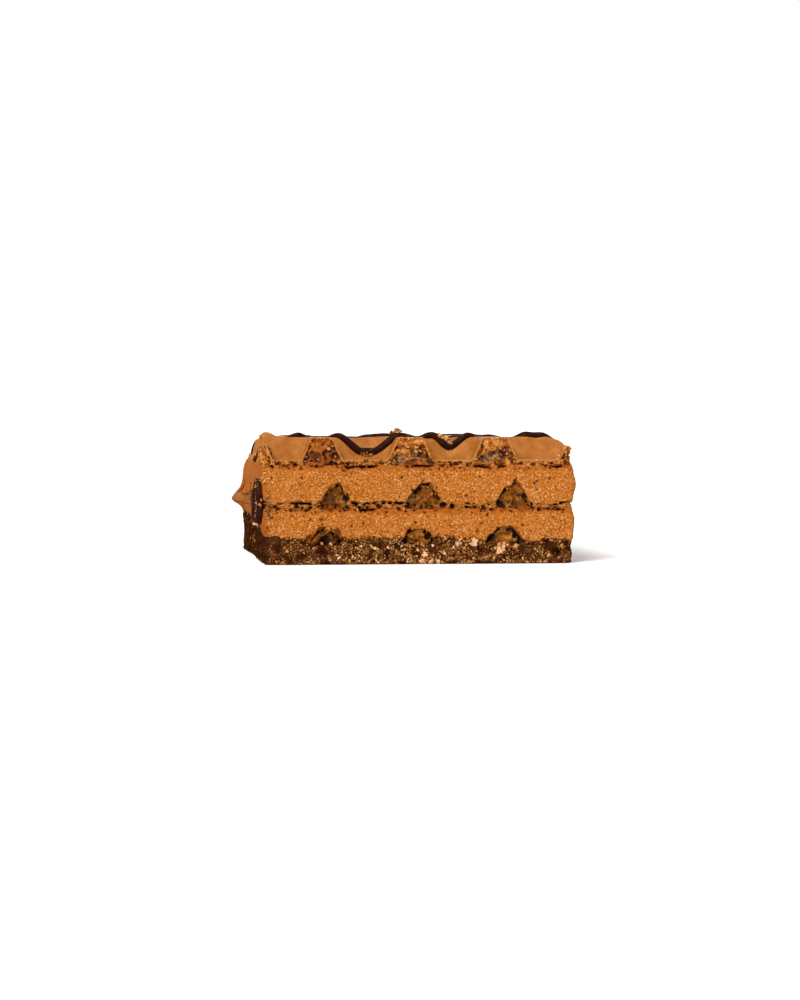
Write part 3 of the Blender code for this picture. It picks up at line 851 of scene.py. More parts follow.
def biscuit_cream():
    """Sugar and fat cream with ground biscuit in it, cut with a knife: a fine sandy grain of
    lighter and darker specks with no shine, with painted shade in its crevices and just under the
    sheet above, and darker on the left side. Real sugar grit is finer than 0.1 mm and is drawn
    coarser here, so that it shows."""
    material, tree, shader = new_material("cut_sugar_fat_cream", 0.85, 0.05)
    place = add(tree, "TexCoord")["Object"]
    tone = palette("cream_colour")
    size = setting("cream_grain") / MM
    fine = add(
        tree, "TexNoise", {"Vector": place, "Scale": per_metre(size), "Detail": 4.0, "Roughness": 0.8}
    )["Fac"]
    grit = add(tree, "TexVoronoi", {"Vector": place, "Scale": per_metre(0.65 * size)})["Color"]
    grit = add(tree, "SeparateColor", (grit,))[0]
    grit = add(tree, "MapRange", (grit, 0.0, 1.0, -0.06, 0.06))[0]
    sandy = add(tree, "Math", (fine, grit), operation="ADD")[0]
    sand = ((0.34, "602902"), (0.43, "924A06"), (0.5, "AC6622"), (0.56, "BC7A38"), (0.67, "DEA272"))
    colour = add(tree, "ValToRGB", (sandy,), toned(tone, sand))[0]
    coarse = add(tree, "TexNoise", {"Vector": place, "Scale": per_metre(1.3), "Detail": 4.0})["Fac"]
    fatty = add(tree, "MapRange", (coarse, 0.48, 0.62, 0.0, 0.45))[0]
    colour = add(tree, "Mix", {0: fatty, 6: colour, 7: tone("AC5A0C")}, data_type="RGBA")[2]
    grains = add(tree, "TexVoronoi", {"Vector": place, "Scale": per_metre(0.5)})
    number = add(tree, "SeparateColor", (grains["Color"],))[0]
    spot = add(tree, "MapRange", (grains["Distance"], 0.15, 0.45, 1.0, 0.0))[0]
    kinds = ((0.9, 0.92, 0.7, "4E2002"), (0.14, 0.12, 0.55, "D4A47C"), (0.5, 0.54, 0.3, "B85C08"))
    for low, high, strength, hexed in kinds:
        chosen = add(tree, "MapRange", (number, low, high, 0.0, strength))[0]
        grain = add(tree, "Math", (chosen, spot), operation="MULTIPLY")[0]
        colour = add(tree, "Mix", {0: grain, 6: colour, 7: tone(hexed)}, data_type="RGBA")[2]
    # Painted shade under the sheet above and in carved crevices and pits; the left side is darker.
    darker = (("rim", 0.0, 1.0, 0.6, "9C4C08"), ("hollow_shade", 0.08, 0.6, 1.0, "4A1E03"))
    for key, low, high, strength, hexed in darker:
        mark = add(tree, "Attribute", attribute_name=key)["Fac"]
        mark = add(tree, "MapRange", (mark, low, high, 0.0, strength))[0]
        colour = add(tree, "Mix", {0: mark, 6: colour, 7: tone(hexed)}, data_type="RGBA")[2]
    dress(tree, shader, colour, fine, 0.25)
    translucent(shader, 0.05, 0.3)
    return material


def dusted_chocolate():
    """Set chocolate, matt from crumb dust: dark reddish brown with scattered olive and peach
    specks pressed in. Dust is a number on the mesh's vertices."""
    material, tree, shader = new_material("crumb_dusted_chocolate", 0.9, 0.0)
    place = add(tree, "TexCoord")["Object"]
    tone = palette("chocolate_colour")
    coarse = add(tree, "TexNoise", {"Vector": place, "Scale": per_metre(1.6), "Detail": 3.0})["Fac"]
    bare = ((0.3, "1A0802"), (0.55, "361808"), (0.8, "543020"))
    colour = add(tree, "ValToRGB", (coarse,), toned(tone, bare))[0]
    dust = add(tree, "Attribute", attribute_name="dust")["Fac"]
    specks = ((0.2, "42200A"), (0.5, "744A1C"), (0.8, "A06E3A"), (1.0, "CC9864"))
    for size, least in ((0.36, 0.0), (0.2, 0.05)):
        grains = add(tree, "TexVoronoi", {"Vector": place, "Scale": per_metre(size)})
        number = add(tree, "SeparateColor", (grains["Color"],))[0]
        tint = add(tree, "ValToRGB", (number,), toned(tone, specks))[0]
        spot = add(tree, "MapRange", (grains["Distance"], 0.34, 0.5, 1.0, 0.0))[0]
        thick = add(tree, "MapRange", (coarse, 0.42, 0.58, least, 1.0))[0]
        grain = add(tree, "Math", (thick, spot), operation="MULTIPLY")[0]
        grain = add(tree, "Math", (grain, dust), operation="MULTIPLY")[0]
        colour = add(tree, "Mix", {0: grain, 6: colour, 7: tint}, data_type="RGBA")[2]
    fine = add(tree, "TexNoise", {"Vector": place, "Scale": per_metre(0.25), "Detail": 3.0})["Fac"]
    dress(tree, shader, colour, fine, 0.15)
    return material


def strand_chocolate():
    """Dark chocolate trailed warm and set in air: smooth and almost black, with a soft satin
    sheen and no grain."""
    material, tree, shader = new_material("satin_dark_chocolate", 0.5, 0.04)
    place = add(tree, "TexCoord")["Object"]
    tone = palette("strand_colour")
    clouds = add(tree, "TexNoise", {"Vector": place, "Scale": per_metre(0.9), "Detail": 3.0})["Fac"]
    browns = ((0.3, "1A0702"), (0.7, "321305"))
    colour = add(tree, "ValToRGB", (clouds,), toned(tone, browns))[0]
    fine = add(tree, "TexNoise", {"Vector": place, "Scale": per_metre(0.4), "Detail": 3.0})["Fac"]
    dress(tree, shader, colour, fine, 0.06)
    return material


def loose_crumb(toasted):
    """Broken wafer and biscuit crumbs: dry, matt, each a little different. Those in the tray are
    olive to peach, those broken out of the wafer more orange."""
    name = "toasted_wafer_crumbs" if toasted else "dry_mixed_crumbs"
    material, tree, shader = new_material(name, 0.85, 0.08)
    place = add(tree, "TexCoord")["Object"]
    tone = palette("crumb_colour")
    mixed = ((0.0, "42240A"), (0.35, "7E501E"), (0.65, "B67E44"), (0.9, "EABA8C"))
    orange = ((0.0, "5E2804"), (0.35, "8E480A"), (0.65, "B06C26"), (0.9, "D29A62"))
    tint = add(tree, "Attribute", attribute_name="tint")["Fac"]
    colour = add(tree, "ValToRGB", (tint,), toned(tone, orange if toasted else mixed))[0]
    fine = add(tree, "TexNoise", {"Vector": place, "Scale": per_metre(0.2), "Detail": 3.0})["Fac"]
    shade = add(tree, "MapRange", (fine, 0.45, 0.7, 0.0, 0.45))[0]
    colour = add(tree, "Mix", {0: shade, 6: colour, 7: tone("6A3810")}, data_type="RGBA")[2]
    dress(tree, shader, colour, fine, 0.05)
    translucent(shader, 0.1, 0.3)
    return material


# ------------------------------------------------------------------ pieces


def fray(line, sheet):
    """Ragged border between a sheet and the cream on it, in mm up or down."""
    flat = on_table(line)
    face = upper_face(sheet, line[:, 0], line[:, 1])
    in_rib = smooth((face - UNDERSIDE[sheet] - SHEET_FLOOR - 0.2) / 0.6)
    seed = 57 + len(sheet)
    ragged = (0.46 + 0.3 * in_rib) * rough(flat, 0.9, seed, 4) + 0.14 * noise(flat, 0.3, seed + 5)
    return ragged - 0.15 * in_rib


def lower_fray(line, sheet):
    """Ragged border under a sheet, in mm up or down."""
    return 0.42 * rough(on_table(line), 0.8, 41 + len(sheet), 3)


def make_layer(name, rows, material, node, values):
    """A closed piece from rows of points round it. The first and last row are flat caps."""
    count = rows.shape[1]
    quads = ring_quads(len(rows), count)
    caps = (np.arange(count), np.arange(count)[::-1] + (len(rows) - 1) * count)
    make_piece(name, rows.reshape(-1, 3), quads, [material], [node], values, caps)


def make_sheet(sheet):
    """A sheet under cream: rings over the ribbed face, a cut wall in rows and a flat underside."""
    lines = outline(*fine_lines(LAYER_STEP))
    rows, wall = layer_shape(
        lines,
        lambda x, y: upper_face(sheet, x, y),
        lambda x, y: np.full_like(x, UNDERSIDE[sheet]),
        ends_fine(SHEET_ROWS),
        above=RINGS,
        inset=behind_rim if sheet == "bottom" else None,
        ragged=(fray(lines[0], sheet), lower_fray(lines[0], sheet) * (sheet != "bottom")),
    )
    rows = warped(rows)
    values = cut_values(sheet, lines, rows, wall)
    name = f"wafer_{sheet}"
    make_layer(f"{name}_sheet", rows, cut_wafer(soaked=True), name, values)


def make_top_sheet():
    """The top sheet: level = floor + ribs over a grid of x and y, then a cut wall down from the
    grid's border and a flat underside. Chips and tears break the face near the cut."""
    xs, ys = fine_lines(TOP_STEP)
    lines = outline(xs, ys)
    line = lines[0]
    grid_x, grid_y = np.meshgrid(xs, ys)
    level = upper_face("top", grid_x, grid_y)
    place = np.stack([grid_x, grid_y, level], -1)
    rise = level - UNDERSIDE["top"] - SHEET_FLOOR
    to_cut = np.minimum(HALF_LENGTH - np.abs(grid_y), HALF_WIDTH - np.abs(grid_x))
    chips = smooth((noise(place, 0.7, 91) + 0.1) / 0.7) * smooth((rise - 2.6) / 0.6)
    level = level - 0.3 * chips * (1.0 - smooth(to_cut / 0.6))
    torn = rough(place, 0.8, 95, 4)
    level = level + 0.16 * torn * (1.0 - smooth(to_cut / 0.6)) * smooth((rise + 0.6) / 1.2)
    level = level + 0.02 * rough(place, 0.9, 93)
    place[..., 2] = level
    index = np.arange(level.size).reshape(level.shape)
    border = np.concatenate([index[0], index[1:, -1], index[-1, -2::-1], index[-2:0:-1, 0]])
    shares = ends_fine(TOP_ROWS)
    high = level.reshape(-1)[border]
    low = UNDERSIDE["top"] + lower_fray(line, "top")
    levels = high + (low - high) * shares[:, None]
    beside = [np.broadcast_to(line[:, axis], levels.shape) for axis in (0, 1)]
    rows = warped(np.stack([*beside, levels], -1))
    values = cut_values("top", lines, rows, range(len(shares)))
    place = warped(place).reshape(-1, 3)
    place[border] = rows[0]
    points = np.concatenate([place, rows[1:].reshape(-1, 3)])
    corners = [index[:-1, :-1], index[:-1, 1:], index[1:, 1:], index[1:, :-1]]
    grid_quads = np.stack(corners, -1).reshape(-1, 4)
    wall_index = np.concatenate([border, np.arange(len(place), len(points))])
    wall_quads = wall_index[ring_quads(len(shares), len(line))]
    edge = 1.0 - smooth(to_cut.reshape(-1) / 0.35)
    edge = edge * smooth(noise(place, 1.1, 96) + 0.6)
    for key, numbers in values.items():
        flat = edge * 0.7 if key == "skin" else 0.0 * edge
        flat[border] = numbers[0]
        values[key] = np.concatenate([flat, numbers[1:].reshape(-1)])
    make_piece(
        "wafer_top_sheet",
        points,
        np.concatenate([grid_quads, wall_quads]),
        [baked_skin(), cut_wafer(soaked=False)],
        ["wafer_top"],
        values,
        caps=(wall_index[-len(line) :][::-1],),
        indices=np.concatenate([np.zeros(len(grid_quads)), np.ones(len(wall_quads) + 1)]),
    )


def make_cream(name, below, above):
    """A cream layer: flat upper face, a grainy cut wall with ragged borders and an underside
    pressed over ribs."""
    lines = outline(*fine_lines(LAYER_STEP))
    line, normal = lines
    joint_top = gape(line, above, under=True)
    joint_foot = gape(line, below, under=False)
    frayed_top = lower_fray(line, above) - 0.3 * joint_top
    frayed_foot = fray(line, below) + 0.34 * joint_foot
    rows, wall = layer_shape(
        lines,
        lambda x, y: np.full_like(x, UNDERSIDE[above] - CREAM_GAP),
        lambda x, y: upper_face(below, x, y) + CREAM_GAP,
        ends_fine(CREAM_ROWS, 0.015),
        below=RINGS[::-1],
        inset=behind_rim if below == "bottom" else None,
        ragged=(frayed_top, frayed_foot),
    )
    rows = warped(rows)
    low = upper_face(below, line[:, 0], line[:, 1])
    hollow_shade = np.zeros(rows.shape[:2])
    rim = np.zeros(rows.shape[:2])
    for row in wall:
        level = rows[row, :, 2]
        to_top = UNDERSIDE[above] - level
        to_foot = level - low
        crevice = 0.5 * (1.0 - smooth(to_foot / 0.3)) * joint_foot
        crevice = crevice + 0.4 * (1.0 - smooth((to_top - 0.2) / 0.3)) * joint_top
        crevice = np.maximum(crevice, 0.45 * torn_open(rows[row]))
        under_top = 1.0 - smooth((to_top - 0.3) / 0.7)
        pits = 0.4 * foam(rows[row], 0.6, 67, wall=0.2, fill=0.05)[0]
        holes = 0.5 * foam(rows[row], 0.5, 68, wall=0.15, fill=0.3)[0] * under_top
        crumbly = 0.1 * rough(rows[row], 0.36, 69, 2) + 0.08 * rough(rows[row], 1.4, 73)
        rows[row, :, :2] += normal * (crumbly - crevice - pits - holes)[:, None]
        # Painted shade in the crevices, pits and holes carved into the cut wall.
        hollow_shade[row] = crevice + pits + holes
        # The rim mark paints shade just under the sheet above, and darkens the whole left side.
        rim[row] = np.maximum(under_top, left_wall(line))
    values = {"hollow_shade": hollow_shade, "rim": rim}
    make_layer(f"{name}_layer", rows, biscuit_cream(), name, values)


# Bare chocolate on the front wall: x, z and radius.
BARE_SPOTS = (
    (-15.3, 2.0, 1.8), (-22.4, 2.6, 1.1), (-6.2, 3.1, 0.9), (2.2, 2.7, 0.9), (10.2, 1.9, 1.0),
    (17.4, 2.5, 1.8), (21.5, 1.4, 0.9),
)
# Rows of the tray over its rim, inside to outside, as steps inward and up from the rim's top, and
# round its foot, as steps inward and levels.
RIM_ROWS = ((RIM_THICKNESS, 0.0), (0.5, -0.02), (0.25, -0.06), (0.06, -0.14))
FOOT_ROWS = ((0.03, 0.12), (0.1, 0.05), (0.25, 0.01), (0.5, 0.0))


def crumb_cover(points):
    """How thickly crumbs cover the chocolate wall, from 0 to 1: thin on the left side, thick in
    the middle of the front and back and missing on some ragged bare spots."""
    x, y, z = points[..., 0], points[..., 1], points[..., 2]
    cover = smooth((rough(points, 2.6, 115, 4) + 0.45) / 0.35)
    cover = cover * (0.68 + 0.32 * bell((x + 1.0) / 12.0))
    cover = cover * (0.7 + 0.3 * smooth((x + 21.0) / 8.0))
    ragged = 1.5 * rough(points, 1.1, 119, 4)
    for spot_x, spot_z, radius in BARE_SPOTS:
        away = np.hypot(x - spot_x, 1.3 * (z - spot_z)) + ragged
        bare = 0.2 + 0.8 * smooth((away - 0.5 * radius) / (0.8 * radius))
        cover = cover * np.where(near_front(y, 1.0), bare, 1.0)
    return cover * np.where(x < -HALF_WIDTH + 0.5, 0.15, 1.0)


def make_base():
    """The chocolate tray: rows over the rim, down the wall with lumps of crumb, round the foot."""
    line, normal = outline(*fine_lines(LAYER_STEP))
    count = len(line)
    rim = rim_level(line)
    inner = line - normal * (RIM_THICKNESS + 0.1)
    rows = [np.column_stack([inner, np.full(count, TRAY_FLOOR)])]
    for inset, rise in RIM_ROWS:
        rows.append(np.column_stack([line - normal * inset, rim + rise]))
    for share in np.linspace(0.07, 0.95, TRAY_ROWS):
        rows.append(np.column_stack([line, rim * (1.0 - share)]))
    for inset, level in FOOT_ROWS:
        rows.append(np.column_stack([line - normal * inset, np.full(count, level)]))
    rows = warped(np.array(rows))
    dust = np.ones(rows.shape[:2])
    for row in range(len(RIM_ROWS), len(rows) - 2):
        near, _, number = cells(rows[row], 0.6, 83)
        lump = np.sqrt(np.clip(1.0 - near / 0.55, 0.0, 1.0)) * (number < 0.5)
        lip = bell((rows[row, :, 2] - 0.3) / 0.16)
        covered = crumb_cover(rows[row])
        relief = 0.3 * rough(rows[row], 1.8, 87, 4) + 0.25 * lump * covered + 0.12 * lip
        relief = relief * np.where(rows[row, :, 0] < -HALF_WIDTH + 0.5, 0.4, 1.0)
        rows[row, :, :2] += normal * relief[:, None]
        dust[row] = covered * (1.0 - 0.7 * lip)
    dust[-3:] = 0.15
    values = {"dust": dust}
    make_layer("chocolate_tray", rows, dusted_chocolate(), "chocolate_base", values)


# Chocolate strands over the top. Each has points along X with their place along Y, height above
# the relief and radius, then the levels where its ends stop on the left and right, and its radius
# at those ends.
STRANDS = (
    (
        (
            (-24.0, -16.2, -0.45, 0.36), (-22.6, -16.6, -0.4, 0.36), (-21.0, -17.9, -0.32, 0.36),
            (-19.4, -19.8, -0.1, 0.42), (-18.6, -20.4, 0.3, 0.5), (-17.9, -20.2, 0.3, 0.5),
            (-17.1, -19.0, -0.15, 0.4), (-15.0, -17.6, -0.32, 0.36), (-13.6, -19.0, -0.3, 0.38),
            (-12.8, -20.6, 0.05, 0.48), (-12.2, -21.3, 0.25, 0.54), (-10.2, -21.6, 0.4, 0.67),
            (-7.6, -21.6, 0.35, 0.7), (-3.6, -21.4, 0.25, 0.6), (-1.4, -21.3, 0.15, 0.48),
            (-0.4, -21.3, -0.05, 0.4), (0.4, -21.3, -0.28, 0.36), (1.2, -21.3, -0.1, 0.4),
            (2.2, -21.4, 0.2, 0.6), (5.4, -21.6, 0.4, 0.66), (8.4, -21.3, 0.25, 0.58),
            (9.6, -20.6, 0.1, 0.44), (10.3, -19.6, -0.25, 0.36), (13.4, -17.2, -0.32, 0.36),
            (16.4, -19.2, -0.28, 0.38), (17.6, -20.0, 0.3, 0.56), (20.2, -20.2, 0.35, 0.56),
            (21.5, -19.8, 0.05, 0.42), (22.4, -18.9, -0.28, 0.36), (24.0, -18.8, -0.28, 0.36),
        ),
        18.0, 15.4, (0.28, 0.4),
    ),
    (
        (
            (-24.0, -5.2, -0.5, 0.36), (-21.0, -4.6, -0.4, 0.38), (-12.0, -5.6, -0.2, 0.38),
            (-6.0, -6.2, -0.15, 0.4), (-5.0, -6.4, 0.1, 0.45), (-2.6, -6.8, 0.1, 0.45),
            (-1.4, -7.0, -0.2, 0.38), (7.0, -7.4, -0.2, 0.38), (8.6, -7.3, -0.05, 0.4),
            (10.2, -7.2, -0.05, 0.4), (11.4, -7.2, -0.25, 0.35), (14.6, -6.6, 0.0, 0.42),
            (17.0, -6.4, 0.1, 0.45), (19.0, -6.2, 0.0, 0.42), (21.0, -5.8, -0.25, 0.35),
            (24.0, -5.2, -0.1, 0.4),
        ),
        18.0, 5.6, (0.4, 0.45),
    ),
    (
        (
            (-24.0, 6.2, -0.4, 0.42), (-20.0, 7.0, -0.3, 0.4), (-16.0, 8.0, -0.22, 0.4),
            (-8.0, 9.0, -0.2, 0.4), (0.0, 8.0, -0.2, 0.4), (8.0, 6.1, -0.2, 0.4),
            (14.0, 5.9, -0.15, 0.4), (18.0, 6.0, 0.0, 0.45), (21.0, 6.6, -0.1, 0.42),
            (24.0, 7.2, -0.1, 0.4),
        ),
        15.2, 10.5, (0.6, 0.45),
    ),
    (
        (
            (-24.0, 20.2, -0.5, 0.36), (-20.0, 21.0, -0.3, 0.4), (-8.0, 21.6, -0.2, 0.42),
            (0.0, 20.6, -0.2, 0.42), (8.0, 19.6, -0.2, 0.42), (16.0, 19.6, -0.15, 0.42),
            (24.0, 20.6, -0.1, 0.4),
        ),
        18.0, 7.0, (0.35, 0.45),
    ),
)
# Step between the points of a strand's path, and number of points round it.
STRAND_STEP = 0.2
STRAND_SIDES = 16
# The drip on the left side: its middle along Y, and the levels of its top and its foot.
DRIP_MIDDLE = -22.9
DRIP_TOP = 13.4
DRIP_FOOT = 6.1


def evened(numbers, width):
    """A list of numbers averaged over a bell-shaped window of that width."""
    window = np.hanning(width + 2)[1:-1]
    window /= window.sum()
    return np.convolve(np.pad(numbers, width // 2, mode="edge"), window, mode="valid")


def strand_path(strand):
    """Centre line and radius of a strand: a smooth curve over the ribs, then down both sides."""
    places, left, right, thick = strand
    table = np.array(places)
    x = np.arange(-HALF_WIDTH + 0.3, HALF_WIDTH - 0.3 + STRAND_STEP / 2, STRAND_STEP)
    y, above, radius = [evened(np.interp(x, table[:, 0], table[:, k]), 7) for k in (1, 2, 3)]
    z = evened(upper_face("top", x, y), 5)
    over = warped(np.column_stack([x, y, z])) + np.column_stack([0 * x, 0 * x, above])
    parts = [(over, radius)]
    for sign, stop, width in ((-1.0, left, thick[0]), (1.0, right, thick[1])):
        end = 0 if sign < 0 else -1
        level = np.arange(over[end][2] - 0.45, stop, -STRAND_STEP)
        if not len(level):
            continue
        along = over[end][1] + 0.3 * np.sin((level - level[0]) * 0.6)
        size = radius[end] + (width - radius[end]) * smooth((level[0] - level) / 3.0)
        size = size * (1.0 + 0.3 * smooth(1.0 - (level - stop) / 1.4))
        reach = outward("left" if sign < 0 else "right", along, level) + 0.05
        path = np.column_stack([sign * (HALF_WIDTH + reach), along, level])
        if sign < 0:
            parts.insert(0, (path[::-1], size[::-1]))
        else:
            parts.append((path, size))
    path, radius = [np.concatenate(arrays) for arrays in zip(*parts)]
    radius = radius * setting("strand_radius") / (USUAL_STRAND * MM)
    return np.stack([evened(axis, 5) for axis in path.T], -1), radius


def drip_path():
    """Centre line and radius of the thick drip that ran down the left side."""
    level = np.arange(DRIP_TOP, DRIP_FOOT, -STRAND_STEP)
    along = DRIP_MIDDLE + 0.35 * np.sin(level * 0.9)
    size = 0.5 + 1.1 * smooth((13.2 - level) / 2.6) - 0.4 * smooth((8.0 - level) / 1.8)
    reach = outward("left", along, level) + 0.8 - 0.35 * size
    return np.column_stack([-HALF_WIDTH - reach, along, level]), size


def make_strands():
    """Chocolate strands: a round profile swept along each path, rounded at its ends and lumpy.
    Surface = path + radius * (cos, sin) across the path."""
    points, quads, caps = [], [], []
    first = 0
    turn = np.linspace(0.0, 2.0 * np.pi, STRAND_SIDES, endpoint=False)[None, :, None]
    for number, (path, radius) in enumerate([*map(strand_path, STRANDS), drip_path()]):
        steps = len(path)
        tangent = np.stack([evened(axis, 5) for axis in np.gradient(path, axis=0).T], -1)
        tangent /= np.linalg.norm(tangent, axis=1, keepdims=True)
        across = np.cross(tangent, np.array([0.0, 1.0, 0.0]))
        across /= np.linalg.norm(across, axis=1, keepdims=True)
        beside = np.cross(across, tangent)
        end = np.minimum(np.arange(steps), np.arange(steps)[::-1]) * STRAND_STEP
        inward = 1.0 - np.clip(end / 0.6, 0.0, 1.0)
        radius = radius * np.sqrt(np.clip(1.0 - inward**2, 0.03, 1.0))
        radius = (radius * (1.0 + 0.14 * rough(path, 2.4, 101 + number)))[:, None, None]
        ring = path[:, None, :] + radius * (
            1.08 * np.sin(turn) * beside[:, None, :] + np.cos(turn) * across[:, None, :]
        )
        ring = ring + 0.02 * rough(ring, 0.6, 107)[..., None]
        points.append(ring.reshape(-1, 3))
        quads.append(ring_quads(steps, STRAND_SIDES, first))
        cap = np.arange(STRAND_SIDES) + first
        caps += [cap, cap[::-1] + (steps - 1) * STRAND_SIDES]
        first += len(points[-1])
    make_piece(
        "chocolate_strands",
        np.concatenate(points),
        np.concatenate(quads),
        [strand_chocolate()],
        ["wafer_top"],
        caps=caps,
    )


# Points round a crumb, and rings of them between its poles.
COARSE_BALL = (5, 2)
PLAIN_BALL = (6, 3)
FINE_BALL = (8, 5)
FINEST_BALL = (12, 7)


def crumb_shape(around, rings):
    """Points and triangles of a small ball: rings of points between two poles."""
    lift = np.linspace(-0.5 * np.pi, 0.5 * np.pi, rings + 2)[1:-1, None]
    turn = np.linspace(0.0, 2.0 * np.pi, around, endpoint=False)[None, :]
    sine = np.broadcast_to(np.sin(lift), (rings, around))
    rows = np.stack([np.cos(lift) * np.cos(turn), np.cos(lift) * np.sin(turn), sine], -1)
    points = np.concatenate([rows.reshape(-1, 3), [[0.0, 0.0, -1.0], [0.0, 0.0, 1.0]]])
    step = np.arange(around)
    after = (step + 1) % around
    south, north = len(points) - 2, len(points) - 1
    last = around * (rings - 1)
    faces = [
        np.stack([np.full(around, south), after, step], -1),
        np.stack([np.full(around, north), last + step, last + after], -1),
    ]
    for row in range(rings - 1):
        low, high = row * around, (row + 1) * around
        faces.append(np.stack([low + step, low + after, high + after], -1))
        faces.append(np.stack([low + step, high + after, high + step], -1))
    return points, np.concatenate(faces)


def scatter(name, centres, radii, tints, seed, shape=PLAIN_BALL, toasted=False, shards=0.0):
    """Crumbs: a ball copied to each centre, stretched, turned and dented by noise, with facets.
    A share of them are flat shards."""
    rng = np.random.default_rng(seed)
    ball, faces = crumb_shape(*shape)
    count = len(centres)
    stretch = rng.uniform(0.55, 1.3, (count, 1, 3))
    stretch[rng.uniform(size=count) < shards, 0, 2] *= 0.3
    turn = rng.normal(size=(count, 4))
    turn /= np.linalg.norm(turn, axis=1, keepdims=True)
    w, x, y, z = turn.T
    matrix = np.stack(
        [
            1 - 2 * (y * y + z * z), 2 * (x * y - z * w), 2 * (x * z + y * w),
            2 * (x * y + z * w), 1 - 2 * (x * x + z * z), 2 * (y * z - x * w),
            2 * (x * z - y * w), 2 * (y * z + x * w), 1 - 2 * (x * x + y * y),
        ],
        -1,
    ).reshape(count, 3, 3)
    body = ball[None] * stretch
    dents = noise(body * 1.2 + rng.uniform(0, 50, (count, 1, 3)), 1.0, seed)
    fine_dents = noise(body * 2.6 + rng.uniform(0, 50, (count, 1, 3)), 1.0, seed + 1)
    body = body * (1.0 + 0.55 * dents[..., None] + 0.3 * fine_dents[..., None])
    size = radii * setting("crumb_size") / (USUAL_CRUMB * MM)
    body = np.einsum("cij,cpj->cpi", matrix, body) * size[:, None, None] + centres[:, None, :]
    body[..., 2] = np.maximum(body[..., 2], 0.0)
    triangles = faces[None] + (np.arange(count) * len(ball))[:, None, None]
    make_piece(
        name,
        body.reshape(-1, 3),
        triangles.reshape(-1, 3),
        [loose_crumb(toasted)],
        [],
        {"tint": np.repeat(tints, len(ball))},
        faceted=True,
    )


def on_side(side, along, level, proud):
    """Points on a side at those places and levels, standing out by proud mm."""
    wall = WALLS[side]
    fixed = wall + math.copysign(1.0, wall) * (outward(side, along, level) + proud)
    if side in ("front", "back"):
        return np.column_stack([along, fixed, level])
    return np.column_stack([fixed, along, level])


def places_along(rng, side, number, margin):
    """Random places along a side, that far from its ends, and their x and y."""
    along_x = side in ("front", "back")
    half = (HALF_WIDTH if along_x else HALF_LENGTH) - margin
    along = rng.uniform(-half, half, number)
    wall = np.full(number, WALLS[side])
    return (along, along, wall) if along_x else (along, wall, along)


# Single crumbs on the front wall: x, z, radius and tint.
FRONT_CRUMBS = (
    (6.1, 3.05, 0.34, 0.75), (8.7, 3.25, 0.52, 0.85), (12.9, 2.3, 0.62, 0.8),
    (13.4, 2.9, 0.4, 0.7), (12.5, 1.8, 0.35, 0.8), (15.4, 2.7, 0.3, 0.7), (-0.2, 2.2, 0.3, 0.8),
    (1.0, 1.5, 0.28, 0.85), (0.6, 0.5, 0.35, 0.75), (2.0, 0.45, 0.4, 0.7), (3.1, 0.35, 0.33, 0.8),
    (-4.8, 2.6, 0.25, 0.9), (-12.6, 1.0, 0.22, 0.95), (-20.6, 2.1, 0.3, 0.6),
    (-15.2, 3.3, 0.25, 0.6), (20.5, 1.2, 0.3, 0.7), (4.2, 3.9, 0.3, 0.6), (2.2, 2.9, 0.2, 0.9),
)
# Single crumbs on the left side and its front corner: x, y, z, radius and tint.
SIDE_CRUMBS = (
    (-24.6, -24.4, 9.2, 0.3, 0.6), (-24.5, -25.4, 10.0, 0.28, 0.5), (-25.1, -20.5, 8.3, 0.24, 0.7),
)
# Flakes made of crumbs stuck together: both ends as x, y, z, the width across, number, radius,
# tint, and whether they broke out of the wafer.
FLAKES = (
    ((3.9, -22.0, 20.3), (5.9, -22.3, 18.7), 0.12, 30, 0.24, 0.7, False),
    ((-3.5, -21.3, 20.5), (-1.9, -21.2, 20.6), 0.2, 22, 0.22, 0.6, False),
    ((-8.4, -22.6, 16.9), (-6.9, -22.6, 16.9), 0.22, 22, 0.16, 0.45, False),
    ((-25.3, -23.2, 6.2), (-24.9, -22.4, 7.0), 0.25, 24, 0.22, 0.75, False),
    ((-24.0, -26.4, 16.8), (-23.8, -26.6, 13.0), 0.24, 80, 0.24, 0.6, True),
    ((-23.5, -26.9, 11.2), (-23.4, -26.9, 7.4), 0.32, 90, 0.17, 0.35, False),
    ((22.3, -26.6, 16.6), (23.2, -26.4, 18.3), 0.2, 70, 0.17, 0.75, True),
    ((12.4, -27.1, 1.7), (13.3, -27.2, 3.0), 0.3, 26, 0.3, 0.75, False),
    ((8.4, -27.1, 3.1), (9.0, -27.1, 3.4), 0.2, 12, 0.28, 0.8, False),
)
# Shares of the crumbs on the tray, and of those on the broken wafer, that lie on each side.
TRAY_SHARES = {"front": 0.58, "left": 0.07, "right": 0.19, "back": 0.16}
RUBBLE_SHARES = {"front": 0.34, "left": 0.22, "right": 0.22, "back": 0.22}
# Rubble is drawn this many times over, because most places turn out bare.
RUBBLE_TRIES = 4
# Crumbs at the upright edges: direction of the corner, number, and how far inside it they lie.
CORNER_CRUMBS = {
    "front_left": (-1, -1, 110, 0.2),
    "front_right": (1, -1, 50, 0.45),
    "back_right": (1, 1, 40, 0.5),
    "back_left": (-1, 1, 40, 0.6),
}
CUT_RIM_CRUMBS = 420


